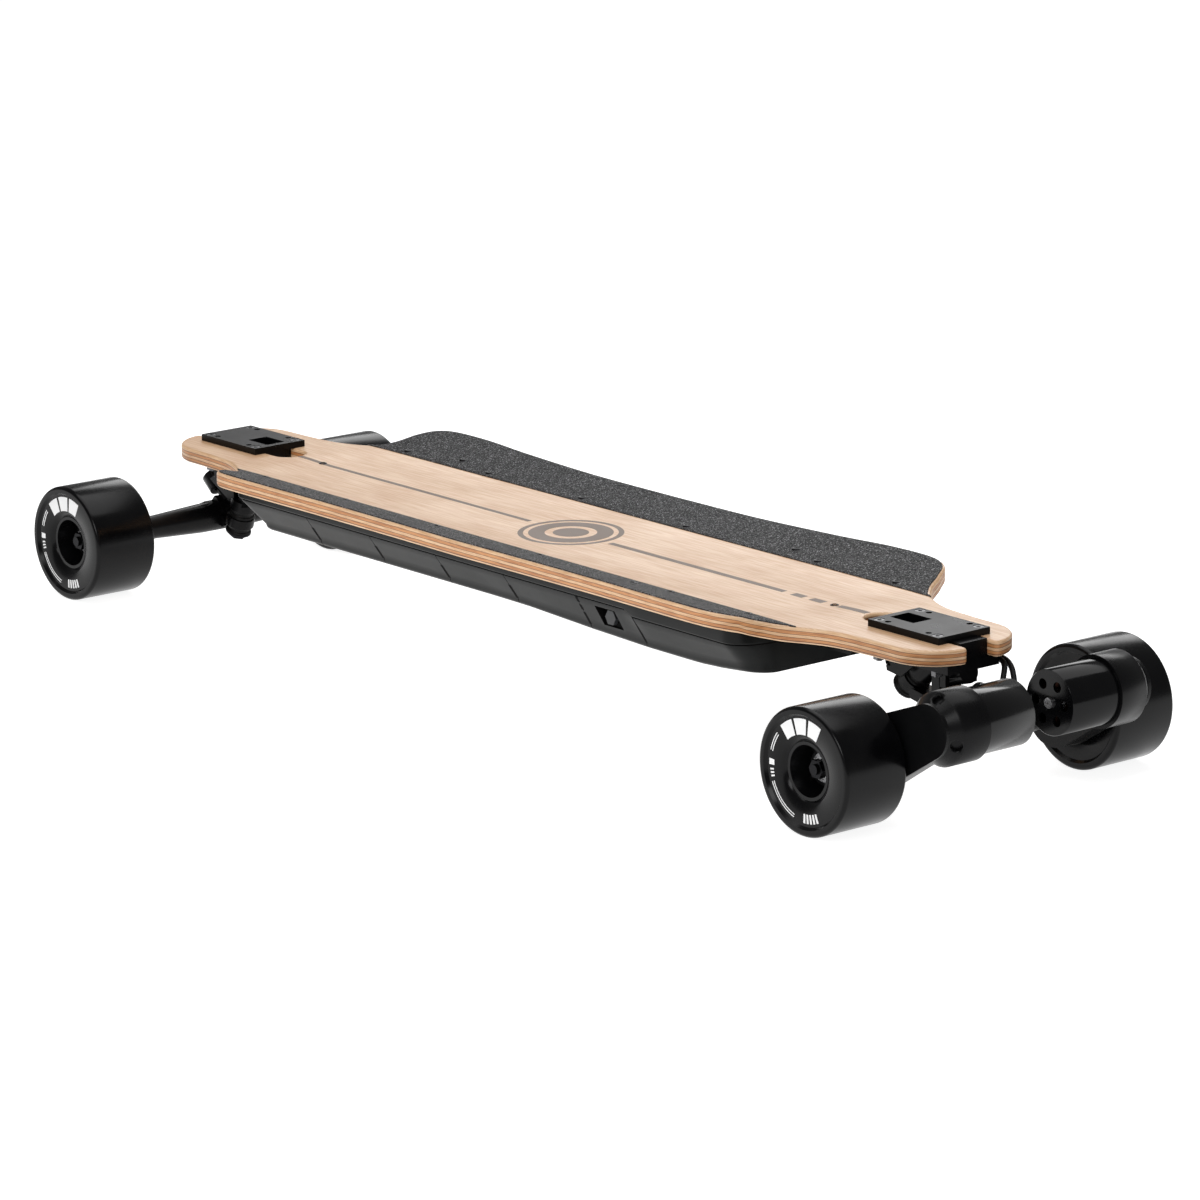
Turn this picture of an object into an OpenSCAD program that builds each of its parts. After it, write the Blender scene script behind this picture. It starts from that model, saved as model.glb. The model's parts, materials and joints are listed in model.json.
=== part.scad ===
// Electric skateboard: bamboo deck with a fork at each end, double-kingpin
// trucks, a segmented battery enclosure and two belt drives at the rear axle.
// +X points to the nose, +Y to the rider's left, +Z up; the ground is z = 0.
// Side profiles use u, the distance outboard from the middle of the wheelbase.

/* [Wheels] */
// Tyre diameter
wheel_d = 97; // [90:0.5:100]
// Width over the tyre's two faces
wheel_w = 58.7; // [52:0.1:62]
// Distance from the centre line to a tyre's middle
track_half = 135.65; // [132:0.05:140]
// Distance between the front and the rear axle
wheelbase = 934.4; // [930:0.1:938]

/* [Deck] */
// Overall deck length
deck_l = 962; // [958:1:966]
// Deck thickness
deck_t = 12.5; // [11:0.5:13]
// Height of the platform's top at the trucks
deck_top = 118; // [117:0.1:118.5]
// Depth of the dished standing area
dish = 1; // [0.5:0.1:1.5]
// Rise of the rails per millimetre of width
rail_slope = 0.235; // [0.2:0.005:0.26]
// Half-width of the flat standing area
flat_half = 68; // [64:0.5:70]
// Thickness of the grip tape
grip_t = 0.8; // [0.6:0.1:1.2]
// Half-width of the open slot at each end
slot_half = 14; // [13.5:0.1:15]

/* [Enclosure] */
// Length from the controller's back to the nose of the battery
enclosure_l = 638; // [634:1:640]
// Height of the battery segments' bottom
battery_bottom = 76.5; // [75:0.5:78]
// Height of the port bay's and the controller's bottom
controller_bottom = 71.5; // [70:0.5:73]
// Half-width of the enclosure at its bottom
belly_half = 78; // [76:0.5:80]
// Half-width of the enclosure at its top
lip_half = 93; // [92:0.5:94]
// Wall thickness of every shell
wall = 2.5; // [2:0.1:3]
// Gap that shows as a seam between two segments
seam = 1.2; // [0.8:0.1:2]

/* [Trucks] */
// Length of the plate on top of the deck
plate_l = 77; // [75:0.5:78]
// Half-width of that plate
plate_half = 26; // [25:0.5:27]
// Height of the plate above the platform
plate_t = 5.5; // [4.5:0.1:6]
// Lengthwise spacing of the truck bolts
bolt_l = 63.5; // [63:0.1:64]
// Crosswise spacing of the truck bolts
bolt_w = 41.3; // [41:0.1:42]
// Radius of a kingpin
kingpin_r = 4.8; // [4:0.1:5]
// Radius of the axle where the bearings sit
axle_r = 4; // [4:0.1:4.5]

/* [Drive] */
// Distance of the motor's axis behind the axle
motor_back = 65; // [63:0.5:67]
// Height of the motor's axis above the axle
motor_rise = 32.5; // [31:0.5:34]
// Radius of the motor can
can_r = 25; // [24:0.5:25.5]
// Radius of the drum that holds the motor
drum_r = 28; // [27.5:0.5:29]
// Teeth on the motor pulley
teeth_motor = 16; // [14:1:18]
// Teeth on the wheel pulley
teeth_wheel = 44; // [40:1:45]

/* [Hidden] */
$fn = 64;
eps = 0.01;
front = 1;
rear = -1;
left = 1;
right = -1;

// The origin is the middle of the bounding box, on the ground
wheel_r = wheel_d / 2;
axle_u = wheelbase / 2;
motor_u = axle_u + motor_back;
motor_z = wheel_r + motor_rise;
origin_shift = (motor_u + drum_r - axle_u - wheel_r) / 2;

module at_end(end)
    translate([origin_shift, 0, 0]) mirror([end < 0 ? 1 : 0, 0, 0]) children();

module at_side(side)
    mirror([0, side < 0 ? 1 : 0, 0]) children();

// Moves the Z axis onto a line in the side plane through p at the given angle
module along(p, angle)
    translate([p[0], 0, p[1]]) rotate([0, 90 - angle, 0]) children();

// Extrudes a side profile (u, z) from -half to half across the board
module across(half)
    rotate([90, 0, 0]) linear_extrude(2 * half, center = true) children();

// Stands the Z axis along +Y at the place (u, z)
module sideways(u, z)
    translate([u, 0, z]) rotate([-90, 0, 0]) children();

// Extrudes a cross-section (y, z) between two places along X
module lengthwise(x0, x1)
    translate([x0, 0, 0]) rotate([90, 0, 90]) linear_extrude(x1 - x0) children();

// Straight bar with round ends in a profile
module bar(p, q, w) {
    d = q - p;
    translate(p) circle(d = w);
    translate(q) circle(d = w);
    translate(p) rotate(atan2(d[1], d[0])) translate([0, -w / 2]) square([norm(d), w]);
}

module tube(r_out, r_in, h) {
    difference() {
        cylinder(r = r_out, h = h);
        translate([0, 0, -eps]) cylinder(r = r_in, h = h + 2 * eps);
    }
}

module ring_profile(r_in, r_out, y0, y1)
    translate([r_in, y0]) square([r_out - r_in, y1 - y0]);

// ---- Deck ----

// Smooth curve through hand-picked points (Catmull-Rom)
function spline_at(p, i, t) =
    let (n = len(p) - 1, a = p[max(i - 1, 0)], b = p[i], c = p[i + 1], d = p[min(i + 2, n)])
    0.5 * (2 * b + (c - a) * t + (2 * a - 5 * b + 4 * c - d) * t * t
        + (3 * b - a - 3 * c + d) * t * t * t);
function spline(p, steps) =
    [for (i = [0:len(p) - 2]) for (k = [0:steps - 1]) spline_at(p, i, k / steps)];

end_r = 40;
end_half = 52.5;
deck_half = deck_l / 2;
// Half the outline: waist, wide shoulder, concave flare and slim end
shoulder = [
    [0, 114], [100, 114], [190, 117.5], [250, 121.6], [296, 121.4],
    [317, 114.5], [328, 100], [337, 83], [353, 68.5], [380, 57],
    [412, 53.5], [deck_half - end_r, end_half]];
quarter = concat(spline(shoulder, 6),
    [for (a = [90:-6:0]) [deck_half - end_r + end_r * cos(a), end_half - end_r + end_r * sin(a)]]);

module deck_outline() {
    for (sx = [0, 1])
        for (sy = [0, 1])
            mirror([sx, 0]) mirror([0, sy])
                polygon(concat([[0, 0]], quarter, [[deck_half, 0]]));
}

slot_end_u = 358;
module deck_slots() {
    for (sx = [0, 1])
        mirror([sx, 0]) {
            translate([slot_end_u + slot_half, 0]) circle(slot_half);
            translate([slot_end_u + slot_half, -slot_half]) square([deck_half, 2 * slot_half]);
        }
}

// Height of the deck's top at a distance y from the centre line
function top_at(y) = deck_top + rail_slope * max(0, abs(y) - flat_half);
rail_y = 130;
module slab_section(top_offset, t)
    polygon([
        [-rail_y, top_at(rail_y) + top_offset], [-flat_half, deck_top + top_offset],
        [flat_half, deck_top + top_offset], [rail_y, top_at(rail_y) + top_offset],
        [rail_y, top_at(rail_y) + top_offset - t], [flat_half, deck_top + top_offset - t],
        [-flat_half, deck_top + top_offset - t], [-rail_y, top_at(rail_y) + top_offset - t]]);

dish_half_l = 350;
dish_ramp = 10;
module dish_pocket() {
    intersection() {
        across(flat_half)
            polygon([[-dish_half_l, deck_top + eps], [-dish_half_l + dish_ramp, deck_top - dish],
                [dish_half_l - dish_ramp, deck_top - dish], [dish_half_l, deck_top + eps]]);
        lengthwise(-dish_half_l, dish_half_l)
            polygon([[-flat_half, deck_top + eps], [2 - flat_half, deck_top - dish],
                [flat_half - 2, deck_top - dish], [flat_half, deck_top + eps]]);
    }
}

// Screws that hold the enclosure: places along the deck and across it
screw_places = [
    [304, 76], [239, 84], [194, 76], [73, 76], [-58, 76], [-180, 84], [-215, 76], [-305, 76]];
screw_r = 2.5;
screw_head_r = 4.5;
screw_head_h = 3;
screw_bottom = 101;
function screw_top(y) = top_at(y) + grip_t - 0.4;
module screw_at(y, gap) {
    translate([0, 0, screw_bottom - gap])
        cylinder(r = screw_r + gap, h = screw_top(y) - screw_bottom + gap);
    translate([0, 0, screw_top(y) - screw_head_h - gap])
        cylinder(r = screw_head_r + gap, h = screw_head_h + gap + (gap > 0 ? 4 : 0));
}
module screws(gap) {
    for (p = screw_places)
        for (sy = [-1, 1])
            translate([p[0], sy * p[1], 0]) screw_at(p[1], gap);
}
hole_gap = 0.15;

plate_u = 384;
plate_mid = plate_u + plate_l / 2;
truck_bolt_r = 2.4;
bolt_head_r = 4.1;
bolt_head_h = 2.6;
// The heads lie in countersinks, a little below the plate's face
bolt_seat_z = deck_top + plate_t - bolt_head_h - 0.3;
module truck_bolt_places() {
    for (su = [-1, 1])
        for (sy = [-1, 1])
            translate([plate_mid + su * bolt_l / 2, sy * bolt_w / 2, 0]) children();
}

module deck() {
    color("burlywood") translate([origin_shift, 0, 0]) difference() {
        intersection() {
            lengthwise(-deck_half - 1, deck_half + 1) slab_section(0, deck_t);
            translate([0, 0, deck_top - 20]) linear_extrude(60) difference() {
                deck_outline();
                deck_slots();
            }
        }
        dish_pocket();
        screws(hole_gap);
        for (sx = [0, 1])
            mirror([sx, 0, 0]) truck_bolt_places()
                translate([0, 0, 90]) cylinder(r = truck_bolt_r + hole_gap, h = 40);
    }
}

grip_edge = 1.2;
grip_inner = 68.4;
module griptape(side) {
    color("dimgray") translate([origin_shift, 0, 0]) difference() {
        intersection() {
            lengthwise(-deck_half, deck_half) slab_section(grip_t, grip_t);
            translate([0, 0, deck_top - 20]) linear_extrude(60) intersection() {
                tape_outline();
                translate([-deck_half, side > 0 ? grip_inner : -grip_inner - rail_y])
                    square([deck_l, rail_y]);
            }
        }
        screws(hole_gap);
    }
}
// Outline moved in by the strip of bare wood beside the tape
module tape_outline() {
    inner = [for (p = spline(shoulder, 6)) [p[0] - (p[0] > 250 ? grip_edge : 0), p[1] - grip_edge]];
    for (sx = [0, 1])
        for (sy = [0, 1])
            mirror([sx, 0]) mirror([0, sy])
                polygon(concat([[0, 0]], inner, [[deck_half - end_r, 0]]));
}

module enclosure_screws() {
    color("black") translate([origin_shift, 0, 0]) screws(0);
}

// ---- Enclosure ----

tray_t = 3;
deck_bottom = deck_top - deck_t;
enclosure_half = enclosure_l / 2;
rear_corner_r = 22;
nose_corner_r = 14;
bay_front = -123;
bay_rear = -190;
segment_l = 86.5;
segment_count = 4;
nose_rear = bay_front + segment_count * segment_l;

// Plan outline of the enclosure, drawn in by inset all round
module enclosure_plan(inset) {
    r = rear_corner_r - inset;
    h = lip_half - inset;
    x0 = -enclosure_half + inset;
    x1 = enclosure_half - inset;
    translate([x0 + r, -h]) square([x1 - x0 - r - nose_corner_r, 2 * h]);
    translate([x0, r - h]) square([2 * r, 2 * (h - r)]);
    translate([x1 - 2 * nose_corner_r, nose_corner_r - h])
        square([2 * nose_corner_r, 2 * (h - nose_corner_r)]);
    for (sy = [-1, 1]) {
        translate([x0 + r, sy * (h - r)]) circle(r);
        translate([x1 - nose_corner_r, sy * (h - nose_corner_r)]) circle(nose_corner_r);
    }
}

// Thin plate that follows the deck's underside; the shells hang from it
module enclosure_tray() {
    color("#2b2b2b") translate([origin_shift, 0, 0]) difference() {
        intersection() {
            lengthwise(-enclosure_half - 1, enclosure_half + 1) slab_section(-deck_t, tray_t);
            translate([0, 0, 90]) linear_extrude(40) enclosure_plan(-2);
        }
        screws(hole_gap);
    }
}

// Underside of the tray at a distance y from the centre line
function tray_under(y) = top_at(y) - deck_t - tray_t;

// Cross-section of a shell: flat belly, chamfered edge and leaning sides
belly_chamfer = 5;
module shell_section(bottom, inset) {
    b = bottom + inset;
    w = belly_half - inset;
    l = lip_half - inset;
    polygon([
        [-l, tray_under(l)], [-w, b + belly_chamfer], [-w + belly_chamfer, b],
        [w - belly_chamfer, b], [w, b + belly_chamfer], [l, tray_under(l)],
        [flat_half, tray_under(0)], [-flat_half, tray_under(0)]]);
}

module shell(x0, x1, bottom) {
    difference() {
        lengthwise(x0, x1) shell_section(bottom, 0);
        lengthwise(x0 + wall, x1 - wall) difference() {
            shell_section(bottom, wall);
            translate([-lip_half, tray_under(0) - 0.5]) square([2 * lip_half, 30]);
        }
        screws(hole_gap);
    }
}

// Bar of the shell's section inside the enclosure's plan; wall thick inset for its hollow
module shell_bar(x0, x1, bottom, inset)
    intersection() {
        lengthwise(x0, x1) difference() {
            shell_section(bottom, inset);
            if (inset > 0)
                translate([-lip_half, tray_under(0) - 0.5]) square([2 * lip_half, 30]);
        }
        translate([0, 0, 60]) linear_extrude(60) enclosure_plan(inset);
    }

// Leaning front face of the battery's nose
nose_lean = 14;
module nose_cut()
    across(2 * lip_half)
        polygon([[enclosure_half + 1, 110], [enclosure_half + 1, 60],
            [enclosure_half - nose_lean, 60], [enclosure_half - nose_lean, battery_bottom + 2],
            [enclosure_half, deck_bottom]]);

module battery_segments() {
    color("#3a3b3b") translate([origin_shift, 0, 0]) {
        for (i = [0:segment_count - 1])
            shell(bay_front + i * segment_l + seam / 2, bay_front + (i + 1) * segment_l - seam / 2,
                battery_bottom - 1.5);
        difference() {
            shell_bar(nose_rear + seam / 2, enclosure_half, battery_bottom, 0);
            nose_cut();
            difference() {
                shell_bar(nose_rear + seam / 2 + wall, enclosure_half, battery_bottom, wall);
                translate([-wall - 0.5, 0, 0]) nose_cut();
            }
            screws(hole_gap);
        }
    }
}

port_mid = (bay_front + bay_rear) / 2 + 2;
port_z = 90;
port_w = 24;
port_h = 13.5;
port_floor = 79;
button_r = 4;
button_hole_gap = 0.3;
socket_r = 8.5;
module port_bay() {
    color("#333434") translate([origin_shift, 0, 0]) difference() {
        shell(bay_rear + seam / 2, bay_front - seam / 2, controller_bottom);
        for (s = [-1, 1])
            translate([port_mid - port_w / 2, s * (port_floor + 15) - 15, port_z - port_h / 2])
                cube([port_w, 30, port_h]);
        translate([port_mid, 0, port_z]) {
            rotate([-90, 0, 0]) cylinder(r = button_r + button_hole_gap, h = 100);
            rotate([90, 0, 0]) cylinder(r = socket_r, h = 100);
        }
    }
}

// Hexagonal push button; its stem passes the recess's floor
button_hex_r = 6.3;
button_out = 84.5;
module power_button() {
    color("#1c1c1c") translate([origin_shift + port_mid, 0, port_z]) rotate([-90, 0, 0]) {
        translate([0, 0, port_floor + 2])
            cylinder(r = button_hex_r, h = button_out - port_floor - 2, $fn = 6);
        translate([0, 0, port_floor - 9]) cylinder(r = button_r, h = 12);
    }
}

charge_bore_r = 6;
charge_bore_l = 10;
module charge_socket() {
    color("silver") translate([origin_shift + port_mid, 0, port_z]) rotate([90, 0, 0]) {
        translate([0, 0, port_floor - 12]) difference() {
            cylinder(r = socket_r - 0.1, h = 12 + 1.5);
            translate([0, 0, 13.5 - charge_bore_l]) cylinder(r = charge_bore_r, h = charge_bore_l + 1);
        }
    }
}

module controller_housing() {
    x1 = bay_rear - seam / 2;
    color("#3a3b3b") translate([origin_shift, 0, 0]) difference() {
        intersection() {
            shell_bar(-enclosure_half, x1, controller_bottom - 0.5, 0);
            tail_rise();
        }
        intersection() {
            shell_bar(-enclosure_half, x1 - wall, controller_bottom - 0.5, wall);
            translate([0, 0, wall]) tail_rise();
        }
        screws(hole_gap);
    }
}
// The controller's belly rises towards its back
module tail_rise()
    across(2 * lip_half)
        polygon([[bay_rear, 60], [-250, controller_bottom - 0.6],
            [-enclosure_half - 1, controller_bottom + 3.8],
            [-enclosure_half - 1, 120], [bay_rear, 120]]);

cell_r = 9.1;
cell_l = 65;
cell_pitch = 19.4;
cells_in_row = 4;
// Middle of a segment's row of cells; the last row sits back from the nose
function cells_mid(i) = bay_front + (i + 0.5) * segment_l - (i == segment_count ? 1 : 0);
module battery_cells() {
    color("steelblue") translate([origin_shift, 0, 0])
        for (i = [0:segment_count])
            for (k = [0:cells_in_row - 1])
                for (s = [-1, 1])
                    translate([cells_mid(i) + (k - (cells_in_row - 1) / 2) * cell_pitch,
                        s * (4 + cell_l / 2), battery_bottom + wall + 0.5 + cell_r])
                        rotate([90, 0, 0]) cylinder(r = cell_r, h = cell_l, center = true);
}

module controller_board() {
    color("darkgreen") translate([origin_shift, 0, 0]) {
        translate([-300, -55, 84]) cube([95, 110, 1.6]);
        translate([-290, -45, 85.6]) cube([45, 90, 9]);
        for (s = [-1, 1])
            translate([-225, s * 32, 85.6]) cylinder(r = 8, h = 14);
    }
}

// Both motor cables leave this cover on the right of the centre line
cover_half = 30;
cover_u = [326, 370];
cable_exit_y = [-17, -24.5];
cable_exit_z = 99;
cable_hole_r = 2.9;
module rear_cable_cover() {
    cover_l = cover_u[1] - cover_u[0];
    color("#3a3b3b") at_end(rear) difference() {
        translate([cover_u[0], -cover_half, deck_bottom - 12]) cube([cover_l, 2 * cover_half, 12]);
        translate([cover_u[0] - 1, -cover_half + wall, deck_bottom - 12 + wall])
            cube([cover_l + 1 - wall, 2 * (cover_half - wall), 12]);
        for (y = cable_exit_y)
            translate([cover_u[1] - 10, y, cable_exit_z]) rotate([0, 90, 0])
                cylinder(r = cable_hole_r, h = 20);
    }
}

// ---- Trucks ----

// Joint centres and pivot points in the side plane (u, z)
upper_ring = [407, 78];
upper_pivot = [458, 93];
lower_ring = [443, 48];
lower_pivot = [475, 75];
// Directions from each ring to its kingpin's nut, and of each steering axis
upper_pin_angle = 220;
lower_pin_angle = -70;
function slope(p, q) = atan2(q[1] - p[1], q[0] - p[0]);
upper_axis = slope(upper_ring, upper_pivot);
lower_axis = slope(lower_ring, lower_pivot);
// Thicknesses of the stack on a kingpin, counted from the ring's middle
ring_half = 4;
board_bushing = 8;
road_bushing = 6.5;
washer_t = 1.5;
nut_t = 4.5;
nut_at = ring_half + road_bushing + washer_t;
ring_hole_r = 6.6;
ring_r = 12;
bushing_r = 10.5;
seat_r = 11;
seat_near = ring_half + board_bushing;
pivot_pin_r = 5.2;
pivot_bore_r = 5.8;

under_z = 97;
module plate_holes() {
    for (su = [-1, 1])
        for (du = [0, 9.6])
            for (sy = [-1, 1])
                translate([plate_mid + su * (bolt_l / 2 - du), sy * bolt_w / 2, 90]) {
                    cylinder(r = truck_bolt_r + hole_gap, h = 50);
                    if (du == 0) translate([0, 0, bolt_seat_z - 90]) cylinder(r = bolt_head_r + 0.3, h = 20);
                }
}

module baseplate() {
    color("#1a1a1a") difference() {
        union() {
            // top plate, neck through the slot and wider body under the deck
            translate([plate_u, -plate_half, deck_top]) cube([plate_l, 2 * plate_half, plate_t]);
            translate([plate_u + 3, -slot_half + 0.5, under_z])
                cube([84, 2 * slot_half - 1, deck_top - under_z + 1]);
            translate([plate_u + 4, -plate_half, under_z])
                cube([83, 2 * plate_half, deck_bottom - under_z]);
            // seat for the upper kingpin and housing for the arm's pivot
            along(upper_ring, upper_pin_angle) translate([0, 0, -seat_near - 16])
                cylinder(r = seat_r, h = 16);
            along(upper_pivot, upper_axis) translate([0, 0, -10]) cylinder(r = 9.5, h = 18);
            // ribs beside the bushings, and ears beside the pivot
            for (s = [-1, 1])
                translate([0, s * 19, 0]) across(1.5)
                    polygon([[396, under_z + 1], [399, 86], [414, 84], [432, under_z + 1]]);
            for (y = [-16, 12])
                translate([452, y, 83]) cube([6, 4, 15]);
        }
        translate([plate_u + 6, -9.5, deck_bottom]) cube([26, 19, 30]);
        plate_holes();
        along(upper_ring, upper_pin_angle) {
            translate([0, 0, -seat_near - 20]) cylinder(r = kingpin_r + 0.1, h = 30);
            translate([0, 0, -seat_near - 18 - 9]) cylinder(r = 8.5, h = 18);
        }
        along(upper_pivot, upper_axis) translate([0, 0, -12]) cylinder(r = pivot_bore_r, h = 17);
        // room for the arm's ring
        along(upper_ring, upper_pin_angle) translate([0, 0, -seat_near])
            cylinder(r = ring_r + 2, h = 30);
    }
}

// Bolt head, shank, cup washers and nut of one kingpin
module kingpin(head_at) {
    color("silver") {
        translate([0, 0, -head_at - 5]) cylinder(r = 7.5, h = 5, $fn = 6);
        translate([0, 0, ring_half + road_bushing]) cylinder(r = seat_r, h = washer_t);
        translate([0, 0, nut_at]) cylinder(r = 7.5, h = nut_t - 0.5, $fn = 6);
        translate([0, 0, -head_at]) cylinder(r = kingpin_r, h = head_at + nut_at + nut_t);
    }
}

module bushings() {
    color("#151515") {
        translate([0, 0, ring_half]) bushing(road_bushing);
        translate([0, 0, -seat_near]) bushing(board_bushing);
    }
}
module bushing(h) {
    rotate_extrude() {
        difference() {
            translate([kingpin_r + 0.1, 0]) square([bushing_r - kingpin_r - 0.1, h]);
            translate([bushing_r + 0.6, h / 2]) circle(r = 1.6, $fn = 24);
        }
    }
}

// Ring that a kingpin's bushings hold
module ring_body()
    translate([0, 0, -ring_half]) cylinder(r = ring_r, h = 2 * ring_half);

// Middle arm between the two steering axes
module arm() {
    color("#161616") difference() {
        union() {
            along(upper_ring, upper_pin_angle) ring_body();
            across(9) bar([415, 68.5], [433, 65], 8);
            along(lower_ring, lower_pin_angle) translate([0, 0, -seat_near - 9])
                cylinder(r = seat_r + 1, h = 9);
            across(11) polygon([[437, 62], [447, 66], [445.5, 89.5], [438, 89.5]]);
            along(upper_pivot, upper_axis) translate([0, 0, -20]) cylinder(r = pivot_pin_r, h = 24);
            across(10)
                polygon([[440, 64], [447, 66.5], [465, 75.5], [473, 80], [468, 83], [447, 77], [440, 77]]);
            along(lower_pivot, lower_axis) translate([0, 0, -5]) cylinder(r = 10, h = 14);
        }
        along(upper_ring, upper_pin_angle) translate([0, 0, -ring_half - 1])
            cylinder(r = ring_hole_r, h = 10);
        along(lower_ring, lower_pin_angle) {
            translate([0, 0, -seat_near - 12]) cylinder(r = kingpin_r + 0.1, h = 14);
            translate([0, 0, -seat_near - 9 - 24]) cylinder(r = 8.5, h = 24);
        }
        along(lower_pivot, lower_axis) translate([0, 0, -8]) cylinder(r = pivot_bore_r, h = 14);
    }
}

// Half-length of the hanger: the rear one ends inside the drive housings
front_hanger_half = 104;
rear_hanger_half = 86;
module hanger(half) {
    color("#131313") difference() {
        union() {
            along(lower_ring, lower_pin_angle) ring_body();
            across(10)
                polygon([[447, 43], [460, 39.5], [478, 43], [476, 56], [467, 66], [459, 61], [452, 53]]);
            across(14) bar([451, 47], [463, 48.5], 9);
            along(lower_pivot, lower_axis) translate([0, 0, -20]) cylinder(r = pivot_pin_r, h = 24);
            translate([axle_u - 6, 0, 0]) lengthwise(0, 12)
                polygon([[-70, 50], [-16, 61], [16, 61], [70, 50],
                    [70, 43], [16, 40], [-16, 40], [-70, 43]]);
            for (s = [0, 1])
                mirror([0, s, 0]) sideways(axle_u, wheel_r) rotate_extrude()
                    polygon([[0, 0], [12.5, 0], [12.5, 26], [10, 74], [10, half], [0, half]]);
        }
        along(lower_ring, lower_pin_angle) {
            translate([0, 0, -ring_half - 1]) cylinder(r = ring_hole_r, h = 10);
            translate([0, 0, ring_half]) cylinder(r = seat_r + 1.5, h = 16);
            translate([0, 0, -seat_near]) cylinder(r = bushing_r + 0.3, h = board_bushing);
        }
        sideways(axle_u, wheel_r) translate([0, 0, -half - 1]) cylinder(r = axle_r, h = 2 * half + 2);
    }
}

bearing_r = 11;
bearing_w = 7;
bearing_in = 111.5;
bearing_out = 138;
axle_end = 154.5;
collar_r = 5.6;
module axle(half) {
    color("silver") sideways(axle_u, wheel_r) {
        translate([0, 0, -axle_end]) cylinder(r = axle_r, h = 2 * axle_end);
        for (s = [0, 1])
            mirror([0, 0, s]) translate([0, 0, half]) cylinder(r = collar_r, h = bearing_in - half - 0.1);
    }
}

axle_nut_t = 6;
module axle_nuts() {
    color("silver") for (s = [-1, 1])
        at_side(s) sideways(axle_u, wheel_r) translate([0, 0, bearing_out + bearing_w + 0.2]) difference() {
            union() {
                translate([0, 0, 1]) cylinder(r = 7.4, h = axle_nut_t, $fn = 6);
                cylinder(r = 6, h = 1);
            }
            translate([0, 0, -1]) cylinder(r = axle_r, h = 10);
        }
}

module truck_bolts() {
    color("dimgray") for (e = [front, rear])
        at_end(e) truck_bolt_places() {
            translate([0, 0, under_z - 5])
                cylinder(r = truck_bolt_r, h = bolt_seat_z - under_z + 5.5);
            translate([0, 0, bolt_seat_z]) difference() {
                cylinder(r = bolt_head_r, h = bolt_head_h);
                translate([0, 0, bolt_head_h - 1.3]) cylinder(r = 1.9, h = 2, $fn = 6);
            }
            translate([0, 0, under_z - 4]) cylinder(r = 4.6, h = 4, $fn = 6);
        }
}

// ---- Wheels ----

lip_r = 3;
core_r = 22;
module tyre() {
    color("#141414") rotate_extrude($fn = 96) difference() {
        union() {
            ring_profile(core_r, wheel_r, -wheel_w / 2 + lip_r, wheel_w / 2 - lip_r);
            ring_profile(core_r, wheel_r - lip_r, -wheel_w / 2, wheel_w / 2);
            for (s = [-1, 1])
                translate([wheel_r - lip_r, s * (wheel_w / 2 - lip_r)]) circle(r = lip_r, $fn = 32);
        }
        // dished faces with a bevelled centre
        for (s = [0, 1])
            mirror([0, s])
                polygon([[core_r - 1, 24], [27, 27], [41, 27], [43, wheel_w / 2 + 1],
                    [core_r - 1, wheel_w / 2 + 1]]);
    }
}

// Hub inside the tyre: rim sleeve, web with spokes and bearing seats
hub_r = 13.5;
module core() {
    color("#222222") difference() {
        union() {
            translate([0, 0, -24]) tube(core_r, core_r - 2.5, 48);
            translate([0, 0, bearing_in - track_half])
                cylinder(r = hub_r, h = bearing_out + bearing_w - bearing_in);
            translate([0, 0, -6]) cylinder(r = core_r - 1, h = 8);
            for (a = [0:72:288])
                rotate(a) translate([hub_r - 2, -1.5, -18]) cube([core_r - hub_r, 3, 24]);
        }
        translate([0, 0, -40]) cylinder(r = 7, h = 80);
        translate([0, 0, bearing_in - track_half - 1]) cylinder(r = bearing_r, h = bearing_w + 1);
        translate([0, 0, bearing_out - track_half]) cylinder(r = bearing_r, h = bearing_w + 1);
    }
}

module bearing_pair() {
    color("silver") for (y = [bearing_in, bearing_out])
        translate([0, 0, y - track_half]) rotate_extrude() difference() {
            ring_profile(axle_r + 0.05, bearing_r, 0, bearing_w);
            ring_profile(6.2, 9.2, -1, 0.5);
            ring_profile(6.2, 9.2, bearing_w - 0.5, bearing_w + 1);
        }
}

module at_wheel(end, side)
    at_end(end) at_side(side) sideways(axle_u, wheel_r) translate([0, 0, track_half]) children();

// ---- Belt drive (drawn for the left side) ----

belt_pitch = 3;
pulley_gap = 0.35;
belt_t = 2;
drive_in = 84;
drive_out = 100;
cover_t = 3;
plate_in_t = 3;
motor_pulley_r = teeth_motor * belt_pitch / (2 * PI) - 0.4;
wheel_pulley_r = teeth_wheel * belt_pitch / (2 * PI) - 0.4;
centre_distance = norm([motor_back, motor_rise]);
drive_angle = atan2(motor_rise, motor_back);

// Outline round two circles: the first at the axle, the second at the motor
function belt_outline(ra, rb) =
    let (t = acos((ra - rb) / centre_distance), n = 24)
    concat(
        [for (i = [0:n]) let (a = t + (360 - 2 * t) * i / n) ra * [cos(a), sin(a)]],
        [for (i = [0:n]) let (a = -t + 2 * t * i / n) [centre_distance, 0] + rb * [cos(a), sin(a)]]);
module belt_area(ra, rb)
    polygon(belt_outline(ra, rb));

// Extrudes a drive profile between two distances from the centre line
module drive_extrude(y0, y1)
    translate([axle_u, y0, wheel_r]) rotate([0, -drive_angle, 0]) mirror([0, 0, 1]) rotate([-90, 0, 0])
        linear_extrude(y1 - y0) children();

module at_drive(side)
    at_end(rear) at_side(side) children();

module at_motor()
    sideways(motor_u, motor_z) children();

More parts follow.
